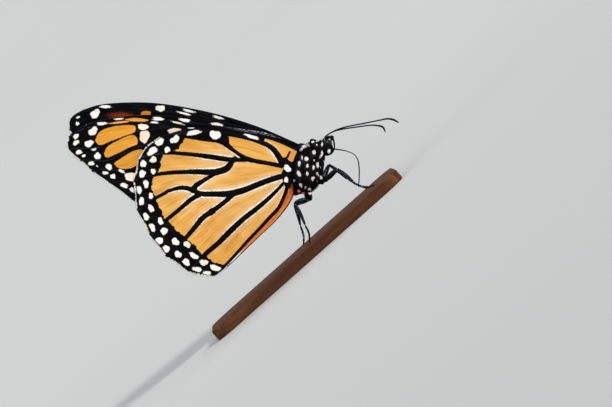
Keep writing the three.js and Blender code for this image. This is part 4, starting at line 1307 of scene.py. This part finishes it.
def buildPalps():
    # scaled feelers either side of the tongue, black with a white stripe down the outside
    palp = {"points": [(17.5, 0.5, 11.65), (18.15, 0.58, 12.35), (18.9, 0.56, 13.35), (19.5, 0.4, 14.25)],
            "radii": [0.32, 0.4, 0.37, 0.2], "tufts": 1100, "tuft": (0.32, 0.07, 0.035)}
    for name, side in sides.items():
        points = [(x, side * y, z) for x, y, z in palp["points"]]

        def striped(roots, normal, share):
            outside = (normal[:, 1] * side > 0.3) & (np.abs(normal @ (-0.8, 0.0, 0.6) - 0.4) < 0.5)
            return outside & (np.abs(share - 0.39) < 0.27), np.zeros(len(share))
        core, coat = furSleeve(points, palp["radii"], palp["tufts"], palp["tuft"], 0.5, striped)
        place(f"palp_{name}_coat", coat, materials["coat"], "body_fur")
        place(f"palp_{name}_core", core, materials["skin"], "body_fur", [f"palp_{name}"])
    print("palps made")


def buildTongue():
    tongue = {"points": [(17.5, 0, 12.5), (18.3, 0, 11.6), (19.6, 0, 10.0), (20.5, 0, 8.2), (20.4, 0, 6.7),
                         (19.4, 0, 5.1), (18.0, 0, 3.5), (16.4, 0, 1.9)],
              "radii": [0.26, 0.18, 0.14, 0.13, 0.15, 0.15, 0.13], "ringCount": 95}

    def grooved(t, spin):
        rings = 1 + 0.05 * np.cos(2 * math.pi * tongue["ringCount"] * t)
        return rings * (1 - 0.16 * np.exp(-(np.sin((spin - math.pi / 2) / 2) / 0.16) ** 2))
    bm = tube(tongue["points"], tongue["radii"], around=18, rings=400, fullness=0.3, form=grooved)
    place("proboscis", meshOf("tongue", bm), materials["tongue"], "tongue",
          ["proboscis_upper", "proboscis_lower"])
    print("tongue made")


feelers = {
    "right": [(18.3, -0.55, 15.1), (18.5, -0.6, 15.25), (20.6, -1.1, 14.95), (22.8, -1.6, 14.1),
              (27.3, -2.5, 11.5), (29.8, -2.95, 10.05), (31.2, -3.2, 9.2), (32.1, -3.4, 8.1),
              (32.5, -3.5, 6.9)],
    "left": [(18.3, 0.55, 15.1), (18.5, 0.6, 15.25), (20.5, 1.7, 14.85), (22.5, 2.9, 13.8),
             (25.8, 5.4, 11.6), (27.8, 6.75, 10.2), (28.9, 7.6, 9.1), (29.6, 8.2, 8.0), (29.3, 8.6, 6.8)],
    "radii": [0.2, 0.185, 0.18, 0.17, 0.165, 0.16, 0.16, 0.16, 0.16, 0.17, 0.21, 0.29, 0.26],
    "ringCount": 44,
}


def buildFeelers():
    def ringed(t, spin):
        saw = np.mod(t * feelers["ringCount"], 1)
        return 1 - 0.09 * np.exp(-((saw - 0.08) / 0.12) ** 2)
    for name in sides:
        shaft = tube(feelers[name], feelers["radii"], around=16, rings=430, fullness=0.35, form=ringed)
        x, y, z = feelers[name][1]
        cup = tube([(x - 0.5, y, z - 0.45), (x + 0.1, y, z + 0.05)], [0.3, 0.33, 0.27],
                   around=18, rings=14, fullness=0.5)
        place(f"feeler_{name}", joined("feeler", [shaft, cup]), materials["feeler"], "feeler",
              [f"antenna_{name}_shaft", f"antenna_{name}_club"])
    print("feelers made")


# Legs. Points run from the trunk to the toe: hip, trochanter, knee, ankle, ball of the foot, toe.

legs = {
    "mid_right": [(10.9, -1.3, 9.9), (12.2, -2.0, 7.9), (15.6, -4.1, 8.2), (16.3, -4.7, 3.4),
                  (17.5, -4.9, 1.1), (19.3, -5.1, 0.22)],
    "mid_left": [(10.4, 1.3, 9.9), (11.2, 2.0, 7.9), (14.9, 4.1, 9.9), (15.9, 4.7, 4.6), (17.0, 4.9, 1.6),
                 (18.3, 5.1, 0.22)],
    "hind_right": [(7.4, -1.45, 9.0), (6.6, -1.4, 7.1), (3.5, -2.1, 8.9), (2.0, -3.3, 3.7), (1.3, -3.7, 1.6),
                   (0.1, -4.0, 0.22)],
    "hind_left": [(7.2, 1.45, 9.0), (6.3, 1.4, 7.1), (3.2, 2.1, 8.4), (1.1, 3.3, 4.0), (0.1, 3.7, 1.8),
                  (-1.3, 4.0, 0.22)],
}
legForm = {"coxa": [0.75, 0.66, 0.42], "femur": [0.44, 0.6, 0.56, 0.46], "tibia": [0.38, 0.42, 0.36, 0.32],
           "foot": [0.28, 0.27, 0.26, 0.25, 0.23], "footJoints": 5, "spines": 26, "spineLength": 0.5,
           "spineWidth": 0.05}


def spine(base, heading, length):
    width = legForm["spineWidth"]
    return tube([base, base + heading * length * 0.55, base + heading * length],
                [width, width * 0.75, width * 0.25], around=6, rings=6, fullness=0.5)


def legMesh(points):
    trochanter, knee, ankle, ball, toe = (np.array(p, float) for p in points[1:])
    middle = (trochanter + knee) / 2 + (0, 0, 0.15)
    shin = (knee + ankle) / 2 + (0.12, 0, 0)

    def jointed(t, spin):
        saw = np.mod(t * legForm["footJoints"], 1)
        return 0.8 + 0.28 * saw ** 1.5 * (1 - step(0.93, 1.0, saw) * 0.6)
    parts = [
        tube([trochanter, middle, knee], legForm["femur"], around=20, rings=40, fullness=0.4),
        tube([knee, shin, ankle], legForm["tibia"], around=18, rings=44, fullness=0.35),
        tube([ankle, ball, toe], legForm["foot"], around=16, rings=90, fullness=0.3, form=jointed),
        tube([knee - (0, 0, 0.2), knee + (0, 0, 0.12)], [0.28, 0.33, 0.26], around=14, rings=12,
             fullness=0.6),
    ]
    # spines on all sides of the shin and the foot, half of them on each
    down = route([knee, shin, ankle], 100)
    foot = route([ankle, ball, toe], 100)
    half = legForm["spines"] // 2
    for k in range(legForm["spines"]):
        if k < half:
            line, share, length = down, 0.12 + 0.86 * (k / half), legForm["spineLength"]
        else:
            line, share, length = foot, 0.06 + 0.88 * ((k - half) / half), legForm["spineLength"] * 0.75
        at = min(int(share * 99), 98)
        run = unit(line[at + 1] - line[at])
        aside = unit(np.cross(run, (0, 1, 0))) * (-1 if k % 2 else 1) + (0, 0.9 if k % 3 else -0.9, 0)
        heading = unit(run * 1.5 + unit(aside) * 0.75)
        if line[at][2] + heading[2] * legForm["spineLength"] < 0.05:
            heading = unit(run * 1.5 + (0, aside[1], 0.3))
        parts.append(spine(line[at], heading, length))
    # a pair of claws
    run = unit(toe - ball)
    for aside in (-1, 1):
        start = toe - run * 0.12 + (0, 0.1 * aside, 0.02)
        end = toe + run * 0.16 + (0, 0.26 * aside, 0.08)
        tip = toe + run * 0.28 + (0, 0.22 * aside, -0.1)
        tip[2] = max(tip[2], 0.04)
        parts.append(tube([start, end, tip], [0.07, 0.06, 0.02], around=8, rings=10, fullness=0.4))
    return joined("leg", parts)


def onBody(roots, normal, share):
    depth, kinds = marksOn(roots, marksFound)
    return depth > 0, kinds


def buildLegs():
    for name, points in legs.items():
        place(f"leg_{name}", legMesh(points), materials["leg"], "leg",
              [f"leg_{name}_{part}" for part in ("femur", "tibia", "tarsus")])
        hip, trochanter = (np.array(p) for p in points[:2])
        core, coat = furSleeve([hip, (hip + trochanter) / 2, trochanter], legForm["coxa"], 900,
                               (0.4, 0.1, 0.04), 0.45, onBody)
        place(f"hip_{name}_coat", coat, materials["coat"], "body_fur")
        place(f"hip_{name}_core", core, materials["skin"], "body_fur", [f"leg_{name}_coxa"])
    for name, side in sides.items():
        # the small brush-like forelegs stay folded against the breast
        points = [(14.4, side * 1.7, 12.1), (13.8, side * 2.2, 11.15), (12.85, side * 2.4, 10.5),
                  (11.6, side * 2.3, 9.95)]
        core, coat = furSleeve(points, [0.34, 0.34, 0.28, 0.2], 1100, (0.42, 0.07, 0.035), 0.4, onBody)
        place(f"foreleg_{name}_brush", coat, materials["coat"], "body_fur")
        place(f"foreleg_{name}_core", core, materials["skin"], "body_fur", [f"foreleg_{name}"])
    print("legs made")


def buildPlinth():
    plinth = {"corner": 5.0, "bevel": 0.35}
    low, high = (np.array(corner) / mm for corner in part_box("stand_base"))
    bm = bmesh.new()
    bmesh.ops.create_cube(bm, size=1)
    bmesh.ops.scale(bm, verts=bm.verts, vec=high - low)
    bmesh.ops.translate(bm, verts=bm.verts, vec=(low + high) / 2)
    upright = [e for e in bm.edges if abs(e.verts[0].co.z - e.verts[1].co.z) > 1]
    bmesh.ops.bevel(bm, geom=upright, offset=plinth["corner"], segments=16, profile=0.5, affect="EDGES",
                    material=-1)
    level = [e for e in bm.edges if abs(e.verts[0].co.z - e.verts[1].co.z) < 0.01
             and any(abs(f.normal.z) > 0.9 for f in e.link_faces)
             and any(abs(f.normal.z) < 0.1 for f in e.link_faces)]
    bmesh.ops.bevel(bm, geom=level, offset=plinth["bevel"], segments=4, profile=0.5, affect="EDGES",
                    material=-1)
    mesh = meshOf("plinth", bm)
    moveTo(mesh, spotsOf(mesh) - standsAt)
    place("plinth", mesh, materials["wood"], "base", ["stand_base"])
    mesh.set_sharp_from_angle(angle=math.radians(40))
    print("plinth made")


buildEyes()
buildPalps()
buildTongue()
buildFeelers()
buildLegs()
buildPlinth()


# Studio: a pale floor that curves up into a pale wall all round, soft light and the camera

def buildStudio():
    studio = {"flat": 0.4, "reach": 3.0, "height": 0.75, "steps": 40}
    rest = studio["reach"] - studio["flat"]
    profile = [(0.0, 0.0), (studio["flat"], 0.0)]
    for k in range(1, studio["steps"] + 1):
        share = k / studio["steps"]
        profile.append((studio["flat"] + rest * share, studio["height"] * share ** 3))
    bm = bmesh.new()
    verts = [bm.verts.new((x, 0, z)) for x, z in profile]
    edges = [bm.edges.new(pair) for pair in zip(verts, verts[1:])]
    bmesh.ops.spin(bm, geom=verts + edges, cent=(0, 0, 0), axis=(0, 0, 1), angle=2 * math.pi, steps=96,
                   use_merge=True)
    bmesh.ops.remove_doubles(bm, verts=bm.verts, dist=1e-5)
    bmesh.ops.recalc_face_normals(bm, faces=bm.faces)
    mesh = meshOf("studio", bm)
    mesh.polygons.foreach_set("use_smooth", np.ones(len(mesh.polygons), bool))
    material, tree = newMaterial("studioPaper", {"Roughness": 0.9})
    paper = blendOf(tree, noise(tree, objectPlace(tree), 3.0), colour(208, 209, 208), colour(213, 214, 213))
    mesh.materials.append(dressed(material, paper))
    obj = bpy.data.objects.new("studio_floor", mesh)
    scene.collection.objects.link(obj)
    world = bpy.data.worlds.new("daylight")
    world.use_nodes = True
    world.node_tree.nodes["Background"].inputs["Color"].default_value = colour(236, 240, 246)
    world.node_tree.nodes["Background"].inputs["Strength"].default_value = 0.42
    scene.world = world


def softLight(name, heading, power, tint=(1, 1, 1), size=0.0, spread=0.0):
    # a soft sun with a spread in degrees, or a round panel with a size, aimed at the butterfly
    aim, distance = Vector((0.007, 0, 0.014)), 2.0
    data = bpy.data.lights.new(name, "AREA" if size else "SUN")
    data.energy, data.color = power, tint
    if size:
        data.shape, data.size = "DISK", size
    else:
        data.angle = math.radians(spread)
    lamp = bpy.data.objects.new(name, data)
    way = Vector(heading).normalized()
    lamp.location = aim + way * distance
    lamp.rotation_euler = way.to_track_quat("Z", "Y").to_euler()
    scene.collection.objects.link(lamp)


def buildCamera():
    camera = {"target": (0.0073, 0, 0.0095), "distance": 0.75, "elevation": 2.5, "roll": 41.6, "lens": 198.5}
    tilt, roll = math.radians(camera["elevation"]), math.radians(camera["roll"])
    back = Vector((0, -math.cos(tilt), math.sin(tilt)))
    level, up = Vector((1, 0, 0)), Vector((0, math.sin(tilt), math.cos(tilt)))
    right = level * math.cos(roll) - up * math.sin(roll)
    top = level * math.sin(roll) + up * math.cos(roll)
    data = bpy.data.cameras.new("camera")
    data.lens, data.sensor_width, data.clip_start, data.clip_end = camera["lens"], 36, 0.01, 20
    obj = bpy.data.objects.new("camera", data)
    stand = Vector(camera["target"]) + back * camera["distance"]
    turn = Matrix((right, top, back)).transposed()
    obj.matrix_world = Matrix.Translation(stand) @ turn.to_4x4()
    scene.collection.objects.link(obj)
    scene.camera = obj


buildStudio()
softLight("key", (0.585, -0.75, 0.42), 2.3, (1.0, 0.98, 0.95), spread=14)
softLight("fill", (-0.8, -0.5, 0.6), 4.0, (0.95, 0.97, 1.0), size=1.2)
softLight("top", (0.1, 0.5, 1.0), 11.0, size=1.0)
buildCamera()
scene.view_settings.view_transform = "Standard"
print("studio made")
